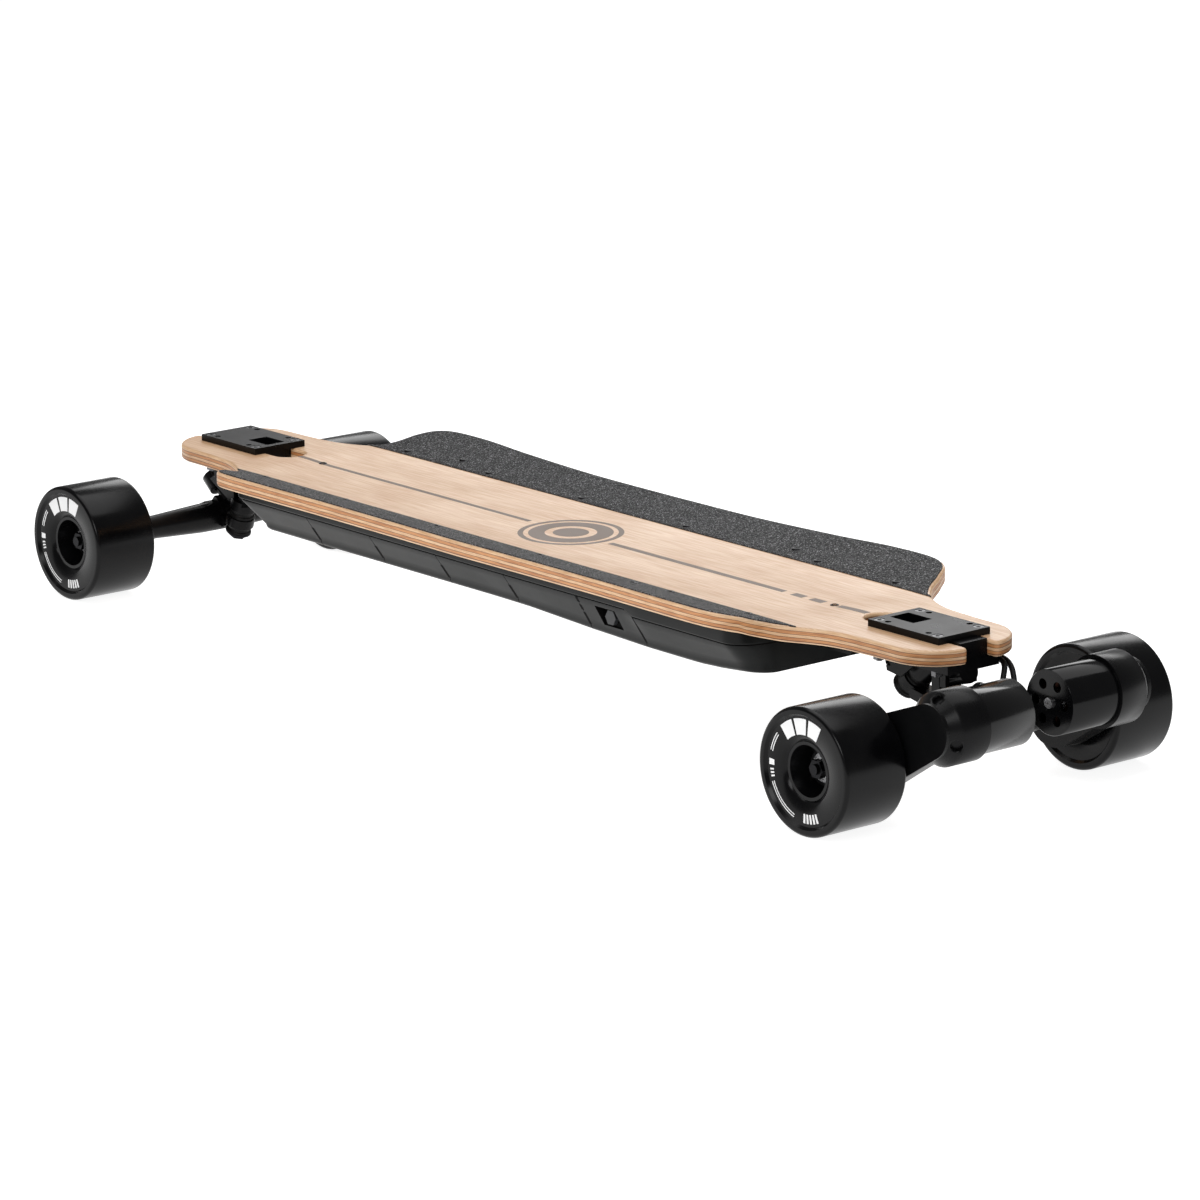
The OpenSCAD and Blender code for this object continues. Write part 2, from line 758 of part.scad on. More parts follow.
cone_y = 91;
drum_in = 66;
pocket_angles = [18, -84];
pocket_r = 4.6;
module drive_housing(side) {
    color("#5c5e5e") at_drive(side) difference() {
        union() {
            at_motor() rotate_extrude() polygon([
                [0, drum_in + 12], [can_r + 0.2, drum_in + 12], [can_r + 0.2, drum_in], [drum_r, drum_in],
                [drum_r, cone_y], [20, drive_out], [0, drive_out]]);
            drive_extrude(drive_in, drive_out) belt_area(27, 18.5);
        }
        drive_extrude(drive_in + plate_in_t, drive_out + 1) belt_area(24.5, 14);
        // clear of the stator end, the shaft and the hanger
        at_motor() translate([0, 0, drum_in + 2]) cylinder(r = 9, h = 40);
        sideways(axle_u, wheel_r) cylinder(r = 10, h = 95);
        for (a = pocket_angles)
            at_motor() rotate(a) translate([24, 0, (cone_y + drive_out) / 2]) rotate([0, 48, 0])
                cylinder(r = pocket_r, h = 8, center = true);
    }
}

sleeve_r = 14;
module drive_cover(side) {
    color("#101010") at_drive(side) {
        difference() {
            drive_extrude(drive_out, drive_out + cover_t) belt_area(27.8, 20.5);
            sideways(axle_u, wheel_r) cylinder(r = sleeve_r + 2, h = 130);
        }
    }
}

module motor_can(side) {
    color("#1b1b1b") at_drive(side) at_motor() difference() {
        rotate_extrude() difference() {
            ring_profile(0, can_r, 19, drum_in + 12);
            ring_profile(0, can_r - 2, 21, drum_in + 9);
            polygon([[can_r - 1.5, 18], [can_r + 1, 18], [can_r + 1, 20.5]]);
        }
        translate([0, 0, 10]) cylinder(r = axle_r + 0.06, h = 80);
        for (a = [0:60:300])
            rotate(a) translate([15, 0, 15]) cylinder(r = 4, h = 8);
    }
}

module motor_stator(side) {
    color("peru") at_drive(side) at_motor() {
        for (a = [0:30:330])
            rotate(a) translate([9, -2, 26]) cube([can_r - 2.2 - 9, 4, 42]);
        translate([0, 0, 28]) tube(can_r - 2, can_r - 5, 38);
    }
}

module motor_rotor(side) {
    color("silver") at_drive(side) at_motor() {
        translate([0, 0, 17]) cylinder(r = axle_r, h = 82);
        translate([0, 0, 28]) cylinder(r = 8.4, h = 38);
        translate([0, 0, drive_in + plate_in_t + 1]) cylinder(r = motor_pulley_r, h = 11);
    }
}

belt_in = 89;
belt_out = 98;
module drive_belt(side) {
    color("#0c0c0c") at_drive(side) drive_extrude(belt_in, belt_out) difference() {
        belt_area(wheel_pulley_r + pulley_gap + belt_t, motor_pulley_r + pulley_gap + belt_t);
        belt_area(wheel_pulley_r + pulley_gap, motor_pulley_r + pulley_gap);
    }
}

module wheel_pulley(side) {
    color("#202020") at_drive(side) sideways(axle_u, wheel_r) difference() {
        union() {
            translate([0, 0, drive_in + plate_in_t + 1]) cylinder(r = wheel_pulley_r, h = 11);
            translate([0, 0, drive_in + plate_in_t + 1])
                cylinder(r = sleeve_r, h = track_half - 24 - drive_in - plate_in_t - 1);
        }
        translate([0, 0, 80]) cylinder(r = 8, h = 40);
        translate([0, 0, bearing_in - 0.5]) cylinder(r = hub_r + 0.1, h = 20);
    }
}

// ---- Motor cables ----

cable_r = 2.2;
cable_sides = 8;
// Routes from the cover under the deck to the motors' inner faces (u, y, z)
left_route = [
    [366, -17, 99], [374, -17.5, 99], [382, -23, 99.5], [391, -28.8, 100], [402, -30, 100],
    [440, -30, 100], [466, -30, 99.5], [476, -26.5, 97], [483, -19, 91], [491, -9, 83],
    [499, 0, 77], [507, 7, 73.8], [513, 12.5, 73], [513, 18.5, 73]];
right_route = [
    [366, -24.5, 99], [374, -25.5, 99], [383, -31, 99.5], [392, -35.4, 100], [402, -36, 100],
    [440, -36, 100], [464, -35.5, 99], [476, -33, 95.5], [486, -27, 88], [494, -19.5, 80.5],
    [501, -13, 76], [508, -11.5, 73.8], [513, -13.5, 73], [513, -18.5, 73]];
function cable_points(p, steps) = concat(spline(p, steps), [p[len(p) - 1]]);
function ring_at(p, dir, r) =
    let (d = dir / norm(dir), a = cross(d, [0, 0, 1]), sx = a / norm(a), sy = cross(sx, d))
    [for (k = [0:cable_sides - 1])
        p + r * (cos(360 * k / cable_sides) * sx + sin(360 * k / cable_sides) * sy)];
module swept(points, r) {
    n = len(points);
    verts = [for (i = [0:n - 1])
        each ring_at(points[i], points[min(i + 1, n - 1)] - points[max(i - 1, 0)], r)];
    sides = [for (i = [0:n - 2]) for (k = [0:cable_sides - 1])
        let (k2 = (k + 1) % cable_sides)
        [i * cable_sides + k, i * cable_sides + k2,
            (i + 1) * cable_sides + k2, (i + 1) * cable_sides + k]];
    start_cap = [[for (k = [cable_sides - 1:-1:0]) k]];
    end_cap = [[for (k = [0:cable_sides - 1]) (n - 1) * cable_sides + k]];
    polyhedron(verts, concat(start_cap, sides, end_cap));
}
module motor_cable(side) {
    route = side > 0 ? left_route : right_route;
    color("#181818") at_end(rear) swept(cable_points(route, 3), cable_r);
}

// ---- Every node ----

deck();
griptape(left);  // griptape_left
griptape(right);  // griptape_right
truck_bolts();
enclosure_tray();
battery_segments();
port_bay();
controller_housing();
charge_socket();
battery_cells();
controller_board();
enclosure_screws();
rear_cable_cover();
power_button();
at_end(front) baseplate();  // front_baseplate
at_end(rear) baseplate();  // rear_baseplate
at_end(front) along(upper_ring, upper_pin_angle) kingpin(seat_near + 9);  // front_upper_kingpin
at_end(rear) along(upper_ring, upper_pin_angle) kingpin(seat_near + 9);  // rear_upper_kingpin
at_end(front) along(upper_ring, upper_pin_angle) bushings();  // front_upper_bushings
at_end(rear) along(upper_ring, upper_pin_angle) bushings();  // rear_upper_bushings
at_end(front) arm();  // front_arm
at_end(rear) arm();  // rear_arm
at_end(front) along(lower_ring, lower_pin_angle) kingpin(seat_near + 9);  // front_lower_kingpin
at_end(rear) along(lower_ring, lower_pin_angle) kingpin(seat_near + 9);  // rear_lower_kingpin
at_end(front) along(lower_ring, lower_pin_angle) bushings();  // front_lower_bushings
at_end(rear) along(lower_ring, lower_pin_angle) bushings();  // rear_lower_bushings
at_end(front) hanger(front_hanger_half);  // front_hanger
at_end(rear) hanger(rear_hanger_half);  // rear_hanger
at_end(front) axle(front_hanger_half);  // front_axle
at_end(rear) axle(rear_hanger_half);  // rear_axle
at_end(front) axle_nuts();  // front_axle_nuts
at_end(rear) axle_nuts();  // rear_axle_nuts
drive_housing(left);  // drive_housing_left
drive_housing(right);  // drive_housing_right
drive_cover(left);  // drive_cover_left
drive_cover(right);  // drive_cover_right
motor_can(left);  // motor_can_left
motor_can(right);  // motor_can_right
motor_stator(left);  // motor_stator_left
motor_stator(right);  // motor_stator_right
motor_rotor(left);  // motor_rotor_left
motor_rotor(right);  // motor_rotor_right
drive_belt(left);  // drive_belt_left
drive_belt(right);  // drive_belt_right
motor_cable(left);  // motor_cable_left
motor_cable(right);  // motor_cable_right
wheel_pulley(left);  // wheel_pulley_left
wheel_pulley(right);  // wheel_pulley_right
at_wheel(front, left) tyre();  // front_left_tyre
at_wheel(front, right) tyre();  // front_right_tyre
at_wheel(rear, left) tyre();  // rear_left_tyre
at_wheel(rear, right) tyre();  // rear_right_tyre
at_wheel(front, left) core();  // front_left_core
at_wheel(front, right) core();  // front_right_core
at_wheel(rear, left) core();  // rear_left_core
at_wheel(rear, right) core();  // rear_right_core
at_wheel(front, left) bearing_pair();  // front_left_bearings
at_wheel(front, right) bearing_pair();  // front_right_bearings
at_wheel(rear, left) bearing_pair();  // rear_left_bearings
at_wheel(rear, right) bearing_pair();  // rear_right_bearings
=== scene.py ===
# Looks for the electric skateboard: deck, grip tape, tyres, prints, cables and small
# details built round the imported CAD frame. Lengths are written in millimetres and
# measured from the middle of the wheelbase; place() turns them into the row frame.
import json
import math

import bmesh
import bpy
import numpy as np
from mathutils import Matrix, Vector


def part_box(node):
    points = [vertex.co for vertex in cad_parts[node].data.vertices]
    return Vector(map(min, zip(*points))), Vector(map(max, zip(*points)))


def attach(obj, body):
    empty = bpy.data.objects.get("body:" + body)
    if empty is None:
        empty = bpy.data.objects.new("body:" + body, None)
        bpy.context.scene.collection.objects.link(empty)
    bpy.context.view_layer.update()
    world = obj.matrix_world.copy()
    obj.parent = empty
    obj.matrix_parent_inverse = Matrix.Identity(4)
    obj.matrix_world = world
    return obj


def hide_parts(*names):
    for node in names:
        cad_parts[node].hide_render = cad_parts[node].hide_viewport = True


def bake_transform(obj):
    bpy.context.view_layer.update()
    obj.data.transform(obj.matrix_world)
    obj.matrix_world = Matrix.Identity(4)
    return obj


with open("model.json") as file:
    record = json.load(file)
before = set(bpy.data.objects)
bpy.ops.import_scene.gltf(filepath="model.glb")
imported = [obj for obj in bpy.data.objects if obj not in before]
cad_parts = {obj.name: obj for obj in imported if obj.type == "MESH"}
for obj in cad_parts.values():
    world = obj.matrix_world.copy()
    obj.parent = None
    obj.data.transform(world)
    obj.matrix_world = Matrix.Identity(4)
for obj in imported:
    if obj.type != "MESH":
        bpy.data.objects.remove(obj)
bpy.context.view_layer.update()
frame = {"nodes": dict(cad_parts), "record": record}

MM = 0.001
# Distances under which mesh operations join vertices: in metres, and in millimetres
MERGE_DIST, CUT_DIST = 1e-7, 1e-4
deck_lo, deck_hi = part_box("deck")
SHIFT = (deck_lo.x + deck_hi.x) / 2


def place(x, y, z):
    """A point in the row frame, in metres."""
    return Vector((x * MM + SHIFT, y * MM, z * MM))


def srgb(r, g, b):
    """A colour from its 8-bit values."""
    linear = [
        c / 12.92 if c <= 0.04045 else ((c + 0.055) / 1.055) ** 2.4
        for c in (r / 255, g / 255, b / 255)
    ]
    return (*linear, 1.0)


WHITE = (1, 1, 1, 1)


# ---- Materials ----


class Finish:
    """A Principled material whose variation comes from procedural textures."""

    def __init__(self, name, colour, rough, metallic=0.0, coat=0.0, coat_rough=0.1, specular=0.5):
        self.mat = bpy.data.materials.new(name)
        self.mat.use_nodes = True
        self.tree = self.mat.node_tree
        self.shader = self.tree.nodes["Principled BSDF"]
        self.set("Base Color", colour)
        self.set("Roughness", rough)
        self.set("Metallic", metallic)
        self.set("Coat Weight", coat)
        self.set("Coat Roughness", coat_rough)
        self.set("Specular IOR Level", specular)
        self.normal = None
        self.coord = self.add("ShaderNodeTexCoord").outputs["Object"]

    def set(self, socket, value):
        self.shader.inputs[socket].default_value = value

    def add(self, kind, **props):
        node = self.tree.nodes.new(kind)
        for key, value in props.items():
            setattr(node, key, value)
        return node

    def link(self, out, inp):
        self.tree.links.new(out, inp)

    def noise(self, scale, stretch=(1, 1, 1), detail=3.0, rough=0.55, distortion=0.0):
        """Fine noise; stretch above 1 squeezes it along that axis."""
        mapping = self.add("ShaderNodeMapping")
        mapping.inputs["Scale"].default_value = stretch
        self.link(self.coord, mapping.inputs["Vector"])
        noise = self.add("ShaderNodeTexNoise")
        noise.inputs["Scale"].default_value = scale
        noise.inputs["Detail"].default_value = detail
        noise.inputs["Roughness"].default_value = rough
        noise.inputs["Distortion"].default_value = distortion
        self.link(mapping.outputs[0], noise.inputs["Vector"])
        return noise.outputs["Fac"]

    def grains(self, scale):
        """Random value of each small cell."""
        cells = self.add("ShaderNodeTexVoronoi")
        cells.inputs["Scale"].default_value = scale
        self.link(self.coord, cells.inputs["Vector"])
        split = self.add("ShaderNodeSeparateColor")
        self.link(cells.outputs["Color"], split.inputs[0])
        return split.outputs[0], cells.outputs["Distance"]

    def ramp(self, value, stops):
        ramp = self.add("ShaderNodeValToRGB")
        els = ramp.color_ramp.elements
        while len(els) < len(stops):
            els.new(0.5)
        for el, (at, colour) in zip(els, stops):
            el.position = at
            el.color = colour
        self.link(value, ramp.inputs[0])
        return ramp.outputs[0]

    def mix(self, amount, a, b, blend="MIX"):
        mix = self.add("ShaderNodeMix", data_type="RGBA", blend_type=blend)
        for value, inp in ((amount, mix.inputs[0]), (a, mix.inputs[6]), (b, mix.inputs[7])):
            if hasattr(value, "is_linked") or hasattr(value, "links"):
                self.link(value, inp)
            else:
                inp.default_value = value
        return mix.outputs[2]

    def colour(self, out):
        self.link(out, self.shader.inputs["Base Color"])
        return self

    def spread(self, value, low, high, socket="Roughness"):
        """Lets a socket wander between two values."""
        rng = self.add("ShaderNodeMapRange")
        rng.inputs["From Min"].default_value = 0.3
        rng.inputs["From Max"].default_value = 0.7
        rng.inputs["To Min"].default_value = low
        rng.inputs["To Max"].default_value = high
        self.link(value, rng.inputs["Value"])
        self.link(rng.outputs[0], self.shader.inputs[socket])
        return self

    def bump(self, value, height, strength=1.0):
        """Raises the surface by a height in millimetres."""
        bump = self.add("ShaderNodeBump")
        bump.inputs["Strength"].default_value = strength
        bump.inputs["Distance"].default_value = height * MM
        self.link(value, bump.inputs["Height"])
        if self.normal:
            self.link(self.normal, bump.inputs["Normal"])
        self.normal = bump.outputs[0]
        self.link(self.normal, self.shader.inputs["Normal"])
        return self


def wood_face(name, pale, warm, streak):
    """Lacquered bamboo: long fine grain over soft mottling."""
    f = Finish(name, pale, 0.42, coat=0.25, coat_rough=0.25)
    broad = f.noise(9, (1, 2.2, 1), 3, 0.6, 0.4)
    grain = f.noise(60, (0.35, 9, 1), 4, 0.6)
    fine = f.noise(420, (0.12, 2.0, 1), 2, 0.5)
    tone = f.ramp(broad, [(0.32, pale), (0.68, warm)])
    lines = f.ramp(grain, [(0.42, WHITE), (0.6, streak), (0.72, WHITE)])
    tone = f.mix(0.55, tone, lines, "MULTIPLY")
    flecks = f.ramp(fine, [(0.35, (0.93, 0.9, 0.87, 1)), (0.6, WHITE)])
    f.colour(f.mix(0.5, tone, flecks, "MULTIPLY"))
    f.spread(broad, 0.36, 0.48)
    f.bump(grain, 0.03, 0.35)
    return f.mat


def ply_edge(name, colour, dark):
    """Sanded edge of one veneer, with end-grain streaks along it."""
    f = Finish(name, colour, 0.5, coat=0.15, coat_rough=0.3)
    streaks = f.noise(150, (0.5, 0.5, 6), 3, 0.6)
    patches = f.noise(26, (1, 1, 1), 2, 0.5)
    tone = f.ramp(streaks, [(0.3, dark), (0.62, colour)])
    shade = f.ramp(patches, [(0.3, (0.88, 0.84, 0.8, 1)), (0.65, WHITE)])
    f.colour(f.mix(0.6, tone, shade, "MULTIPLY"))
    f.bump(streaks, 0.04, 0.4)
    return f.mat


def grit():
    """Grip tape: black mineral grit; its brightest few grains are painted glints."""
    f = Finish("grip_grit", srgb(62, 62, 64), 0.85)
    value, distance = f.grains(1300)
    # Grains from black to grey at random are the grit's own tone; the top stop at 170 is a painted
    # glint.
    base = f.ramp(value, [
        (0.0, srgb(12, 12, 13)), (0.7, srgb(36, 36, 37)),
        (0.9, srgb(76, 76, 77)), (1.0, srgb(170, 170, 172)),
    ])
    worn = f.noise(14, (1, 1, 1), 3, 0.6)
    f.colour(f.mix(0.35, base, f.ramp(worn, [(0.3, srgb(34, 34, 36)), (0.7, srgb(54, 54, 56))])))
    f.spread(value, 0.95, 0.55)
    f.bump(distance, 0.25, 0.7)
    f.bump(f.noise(2600), 0.12, 0.6)
    return f.mat


# How far the roughness of plastic wanders to either side
WANDER = 0.06


def plastic(name, colour, rough, texture=0.02, scale=1800, specular=0.5):
    """Moulded plastic or paint: fine texture, roughness that wanders a little."""
    f = Finish(name, colour, rough, specular=specular)
    broad = f.noise(16, (1, 1, 1), 4, 0.6)
    light = tuple(min(1.0, c * 1.18 + 0.002) for c in colour[:3]) + (1.0,)
    f.colour(f.ramp(broad, [(0.3, colour), (0.75, light)]))
    f.spread(broad, rough - WANDER, rough + WANDER)
    f.bump(f.noise(scale, (1, 1, 1), 2, 0.5), texture, 0.5)
    return f.mat


def metal(name, colour, rough, brushed=(1, 1, 1)):
    """Bare or blackened metal; brushed stretches its fine lines."""
    f = Finish(name, colour, rough, metallic=1.0)
    lines = f.noise(900, brushed, 3, 0.6)
    f.spread(lines, rough * 0.75, rough * 1.35)
    f.bump(lines, 0.01, 0.4)
    return f.mat


def cast_urethane():
    """Black urethane: satin, with faint moulding lines round the wheel and light dust."""
    f = Finish("urethane_black", srgb(4, 4, 5), 0.2, specular=0.17)
    lines = f.noise(700, (0.004, 1, 0.004), 1, 0.5)
    dust = f.noise(40, (1, 1, 1), 4, 0.6)
    f.colour(f.ramp(dust, [(0.45, srgb(4, 4, 5)), (0.85, srgb(9, 9, 10))]))
    f.spread(dust, 0.17, 0.24)
    f.bump(lines, 0.006, 0.3)
    return f.mat


TOP_PALE, TOP_WARM = srgb(224, 192, 158), srgb(208, 172, 136)
WOOD = wood_face("bamboo_face", TOP_PALE, TOP_WARM, srgb(216, 177, 137))
PLY_LIGHT = ply_edge("ply_light", srgb(236, 200, 160), srgb(208, 160, 116))
PLY_WARM = ply_edge("ply_warm", srgb(214, 152, 98), srgb(178, 114, 68))
PLY_GLUE = ply_edge("ply_glue", srgb(132, 84, 50), srgb(96, 58, 34))
GRIT = grit()
PRINT_GREY = plastic("print_grey", srgb(104, 88, 76), 0.5, 0.005)
PRINT_WHITE = plastic("print_white", srgb(236, 236, 236), 0.45, 0.004)
SHELL = plastic("enclosure_satin", srgb(13, 15, 15), 0.34, 0.02, 1500, specular=0.15)
# The near-black seam material: painted shade for the seams between shells, the line under the lip,
# and the port's recess and holes.
SEAM_SHADE = plastic("seam_painted_shade", srgb(3, 3, 3), 0.8, 0.02, specular=0.1)
TRUCK = plastic("truck_powder_coat", srgb(5, 5, 6), 0.3, 0.05, 700, specular=0.14)
DRIVE = plastic("drive_satin_black", srgb(5, 5, 6), 0.28, 0.02, 1400, specular=0.15)
COVER = plastic("cover_black", srgb(7, 7, 8), 0.36, 0.03, specular=0.16)
MOTOR = plastic("motor_gloss_black", srgb(4, 4, 5), 0.14, 0.008, 900, specular=0.2)
CORE = plastic("core_black", srgb(6, 6, 7), 0.3, 0.02, specular=0.2)
RUBBER = plastic("black_rubber", srgb(11, 11, 11), 0.5, 0.05, 900, specular=0.18)
URETHANE = cast_urethane()
STEEL = metal("steel", srgb(190, 190, 192), 0.28)
DARK_STEEL = metal("black_steel", srgb(34, 34, 36), 0.34)
BOLT = metal("bolt_steel", srgb(104, 104, 106), 0.3)
BUTTON = plastic("button_grey", srgb(44, 46, 48), 0.35, 0.02, 1200)
# The windings' copper, darkened far below copper's own colour as painted shade in the motors' holes.
SHADED_COPPER = metal("copper_winding_shaded", srgb(58, 36, 28), 0.4, (1, 6, 1))
CELL = plastic("cell_wrap", srgb(70, 110, 150), 0.4, 0.01)
BOARD = plastic("circuit_board", srgb(24, 74, 44), 0.45, 0.02)

SLOT_FINISH = {
    "bamboo": WOOD, "griptape": GRIT, "enclosure": SHELL, "truck_black": TRUCK,
    "steel": STEEL, "black_steel": DARK_STEEL, "bushing": RUBBER, "urethane": URETHANE,
    "core_black": CORE, "drive_grey": DRIVE, "cover_black": COVER, "motor_black": MOTOR,
    "copper": SHADED_COPPER, "belt": RUBBER, "cable": RUBBER, "cell_wrap": CELL,
    "circuit_board": BOARD, "socket_metal": STEEL, "button_rubber": BUTTON,
}
NODE_FINISH = {
    f"{end}_{what}": DARK_STEEL
    for end in ("front", "rear") for what in ("axle", "axle_nuts", "upper_kingpin", "lower_kingpin")
}
NODE_FINISH["truck_bolts"] = BOLT
for part in frame["record"]["subparts"]:
    node = frame["nodes"][part["node"]]
    finish = NODE_FINISH.get(part["node"], SLOT_FINISH[part["material_slot"]])
    if len(node.material_slots) == 0:
        node.data.materials.append(None)
    for material_slot in node.material_slots:
        material_slot.material = finish


# ---- Mesh helpers ----


def piece(name, verts, faces, finishes, body, slot=None, face_finish=None, smooth=True):
    """A new mesh that rides on a CAD body."""
    mesh = bpy.data.meshes.new(name)
    mesh.from_pydata([tuple(v) for v in verts], [], faces)
    for f in finishes if isinstance(finishes, (list, tuple)) else [finishes]:
        mesh.materials.append(f)
    if face_finish is not None:
        mesh.polygons.foreach_set("material_index", face_finish)
    bm = bmesh.new()
    bm.from_mesh(mesh)
    bmesh.ops.remove_doubles(bm, verts=bm.verts, dist=MERGE_DIST)
    bmesh.ops.recalc_face_normals(bm, faces=bm.faces)
    bm.to_mesh(mesh)
    bm.free()
    return finish_mesh(name, mesh, body, smooth)


def finish_mesh(name, mesh, body, smooth=True):
    obj = bpy.data.objects.new(name, mesh)
    bpy.context.scene.collection.objects.link(obj)
    if smooth:
        mesh.shade_smooth()
        mesh.set_sharp_from_angle(angle=math.radians(40))
    if body:
        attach(obj, body)
    return obj


def join_parts(parts):
    """Several (verts, faces) lists as one."""
    verts, faces = [], []
    for v, f in parts:
        base = len(verts)
        verts += list(v)
        faces += [[i + base for i in face] for face in f]
    return verts, faces


def lathe(profile, centre, side, steps, closed=True):
    """Turns a profile of (radius, distance outboard) round an axis along Y."""
    n = len(profile)
    verts, faces = [], []
    for k in range(steps):
        a = 2 * math.pi * k / steps
        for r, h in profile:
            verts.append((
                centre[0] + r * MM * math.cos(a), centre[1] + side * h * MM,
                centre[2] + r * MM * math.sin(a),
            ))
    last = n if closed else n - 1
    for k in range(steps):
        k2 = (k + 1) % steps
        for i in range(last):
            j = (i + 1) % n
            faces.append([k * n + i, k * n + j, k2 * n + j, k2 * n + i])
    return verts, faces


def sweep(points, radius, sides=14):
    """A capped round tube along points in the row frame."""
    p = [Vector(q) for q in points]
    verts, faces = [], []
    for i, q in enumerate(p):
        d = (p[min(i + 1, len(p) - 1)] - p[max(i - 1, 0)]).normalized()
        side = d.cross(Vector((0, 0, 1))).normalized()
        up = side.cross(d)
        for k in range(sides):
            a = 2 * math.pi * k / sides
            verts.append(q + (side * math.cos(a) + up * math.sin(a)) * radius * MM)
    for i in range(len(p) - 1):
        for k in range(sides):
            k2 = (k + 1) % sides
            faces.append([i * sides + k, i * sides + k2, (i + 1) * sides + k2, (i + 1) * sides + k])
    faces.append(list(range(sides))[::-1])
    faces.append([(len(p) - 1) * sides + k for k in range(sides)])
    return verts, faces


def spline(points, steps):
    """Catmull-Rom curve through points, without the last one."""
    p = np.array(points, float)
    n = len(p) - 1
    out = []
    for i in range(n):
        a, b, c, d = p[max(i - 1, 0)], p[i], p[i + 1], p[min(i + 2, n)]
        for k in range(steps):
            t = k / steps
            bend = (2 * a - 5 * b + 4 * c - d) * t * t + (3 * b - a - 3 * c + d) * t ** 3
            out.append(0.5 * (2 * b + (c - a) * t + bend))
    return out


# ---- Deck ----

PLATFORM = 118.0
DECK_T = 12.5
FLAT_HALF = 68.0
SHOULDER = [
    (0, 114), (100, 114), (190, 117.5), (250, 121.6), (296, 121.4), (317, 114.5),
    (328, 100), (337, 83), (353, 68.5), (380, 57), (412, 53.5), (441, 52.5),
]
SLOPE_AT = [0, 100, 180, 250, 308, 326, 336, 348, 368, 500]
SLOPE = [0.210, 0.222, 0.236, 0.245, 0.245, 0.25, 0.17, 0.05, 0.0, 0.0]


def ease(t):
    """Smooth step from 0 to 1."""
    t = np.clip(t, 0, 1)
    return t * t * (3 - 2 * t)


def deck_top(x, y):
    """Height of the deck's top: flat, dished a little, with rails that rise outboard."""
    x, y = abs(x), abs(y)
    over = y - FLAT_HALF
    soft = 6.0
    rise = 0 if over < -soft else (over if over > soft else (over + soft) ** 2 / (4 * soft))
    slope = float(np.interp(x, SLOPE_AT, SLOPE))
    dish = 1.1 * float(ease((350 - x) / 40)) * float(ease((FLAT_HALF + 2 - y) / 30))
    return PLATFORM + slope * rise - dish


def arc(cx, cy, r, a0, a1, steps):
    """Points of a circular arc, from angle a0 to a1 in degrees."""
    turns = [math.radians(a0 + (a1 - a0) * k / steps) for k in range(steps + 1)]
    return [(cx + r * math.cos(a), cy + r * math.sin(a)) for a in turns]


def deck_loop():
    """Outline of the deck with its two open slots, anticlockwise."""
    tip_r, corner_r, slot, corner = 4.0, 40.0, 14.0, (441.0, 12.5)
    tip_y = slot + tip_r
    tip_x = corner[0] + math.sqrt((corner_r - tip_r) ** 2 - (tip_y - corner[1]) ** 2)
    touch = math.degrees(math.atan2(tip_y - corner[1], tip_x - corner[0]))
    q = arc(358 + slot, 0, slot, 180, 90, 10)
    q += [(x, slot) for x in np.linspace(380, tip_x - 4, 10)]
    q += arc(tip_x, tip_y, tip_r, -90, touch, 6)
    q += arc(*corner, corner_r, touch, 90, 22)[1:]
    q += [tuple(p) for p in spline(SHOULDER, 10)][::-1]
    q[-1] = (0.0, SHOULDER[0][1])
    quarter = [q[0]]
    for p in q[1:]:
        if math.dist(p, quarter[-1]) > 0.3:
            quarter.append(p)
    loop = quarter + [(-x, y) for x, y in quarter[-2::-1]]
    loop += [(-x, -y) for x, y in quarter[1:]] + [(x, -y) for x, y in quarter[-2:0:-1]]
    return loop


def inset(loop, d):
    """The loop moved inwards by d."""
    p = np.array(loop, float)
    before, after = np.roll(p, 1, 0), np.roll(p, -1, 0)
    e1, e2 = p - before, after - p
    e1 /= np.linalg.norm(e1, axis=1)[:, None]
    e2 /= np.linalg.norm(e2, axis=1)[:, None]
    n = np.stack([-(e1 + e2)[:, 1], (e1 + e2)[:, 0]], 1)
    n /= np.linalg.norm(n, axis=1)[:, None]
    scale = 1 / np.maximum(0.5, n[:, 0] * -e1[:, 1] + n[:, 1] * e1[:, 0])
    return p + n * (d * scale)[:, None]


def slab(name, loop, rows, row_finish, finishes, cuts_x, cuts_y):
    """A closed slab on the board, from a flat outline. rows are (inset, depth) from top
    to bottom; every point is lifted by deck_top, so the slab follows the curved top."""
    bm = bmesh.new()
    rings = []
    for d, depth in rows:
        ring = inset(loop, d) if d else np.array(loop, float)
        rings.append([bm.verts.new((x, y, -depth)) for x, y in ring])
    n = len(loop)
    for r in range(len(rows) - 1):
        for i in range(n):
            j = (i + 1) % n
            f = bm.faces.new([rings[r][i], rings[r + 1][i], rings[r + 1][j], rings[r][j]])
            f.material_index = row_finish[r]
    top = bm.faces.new(rings[0])
    bottom = bm.faces.new(rings[-1][::-1])
    for cap in (top, bottom):
        cap.normal_update()
    bmesh.ops.triangulate(bm, faces=[top, bottom])
    for axis, places in ((0, cuts_x), (1, cuts_y)):
        for at in places:
            co, no = [0, 0, 0], [0, 0, 0]
            co[axis], no[axis] = at, 1
            bmesh.ops.bisect_plane(
                bm, geom=bm.verts[:] + bm.edges[:] + bm.faces[:], dist=CUT_DIST,
                plane_co=co, plane_no=no,
            )
    for v in bm.verts:
        x, y, z = v.co
        v.co = place(x, y, deck_top(x, y) + z)
    bmesh.ops.recalc_face_normals(bm, faces=bm.faces)
    mesh = bpy.data.meshes.new(name)
    bm.to_mesh(mesh)
    bm.free()
    for f in finishes:
        mesh.materials.append(f)
    return finish_mesh(name, mesh, "board")


# The deck's edge: its rounding at the top, glue lines between the plies, rounding below
EDGE_R = 2.2
EDGE_ANGLES = (0, 22, 45, 67, 90)
PLY_LINES = [2.75, 3.15, 5.4, 5.8, 7.9, 8.3]


def edge_point(angle):
    """(inset, depth) on the edge's rounding, an angle of 0 being its outermost point."""
    a = math.radians(angle)
    return EDGE_R * (1 - math.cos(a)), EDGE_R * (1 - math.sin(a))


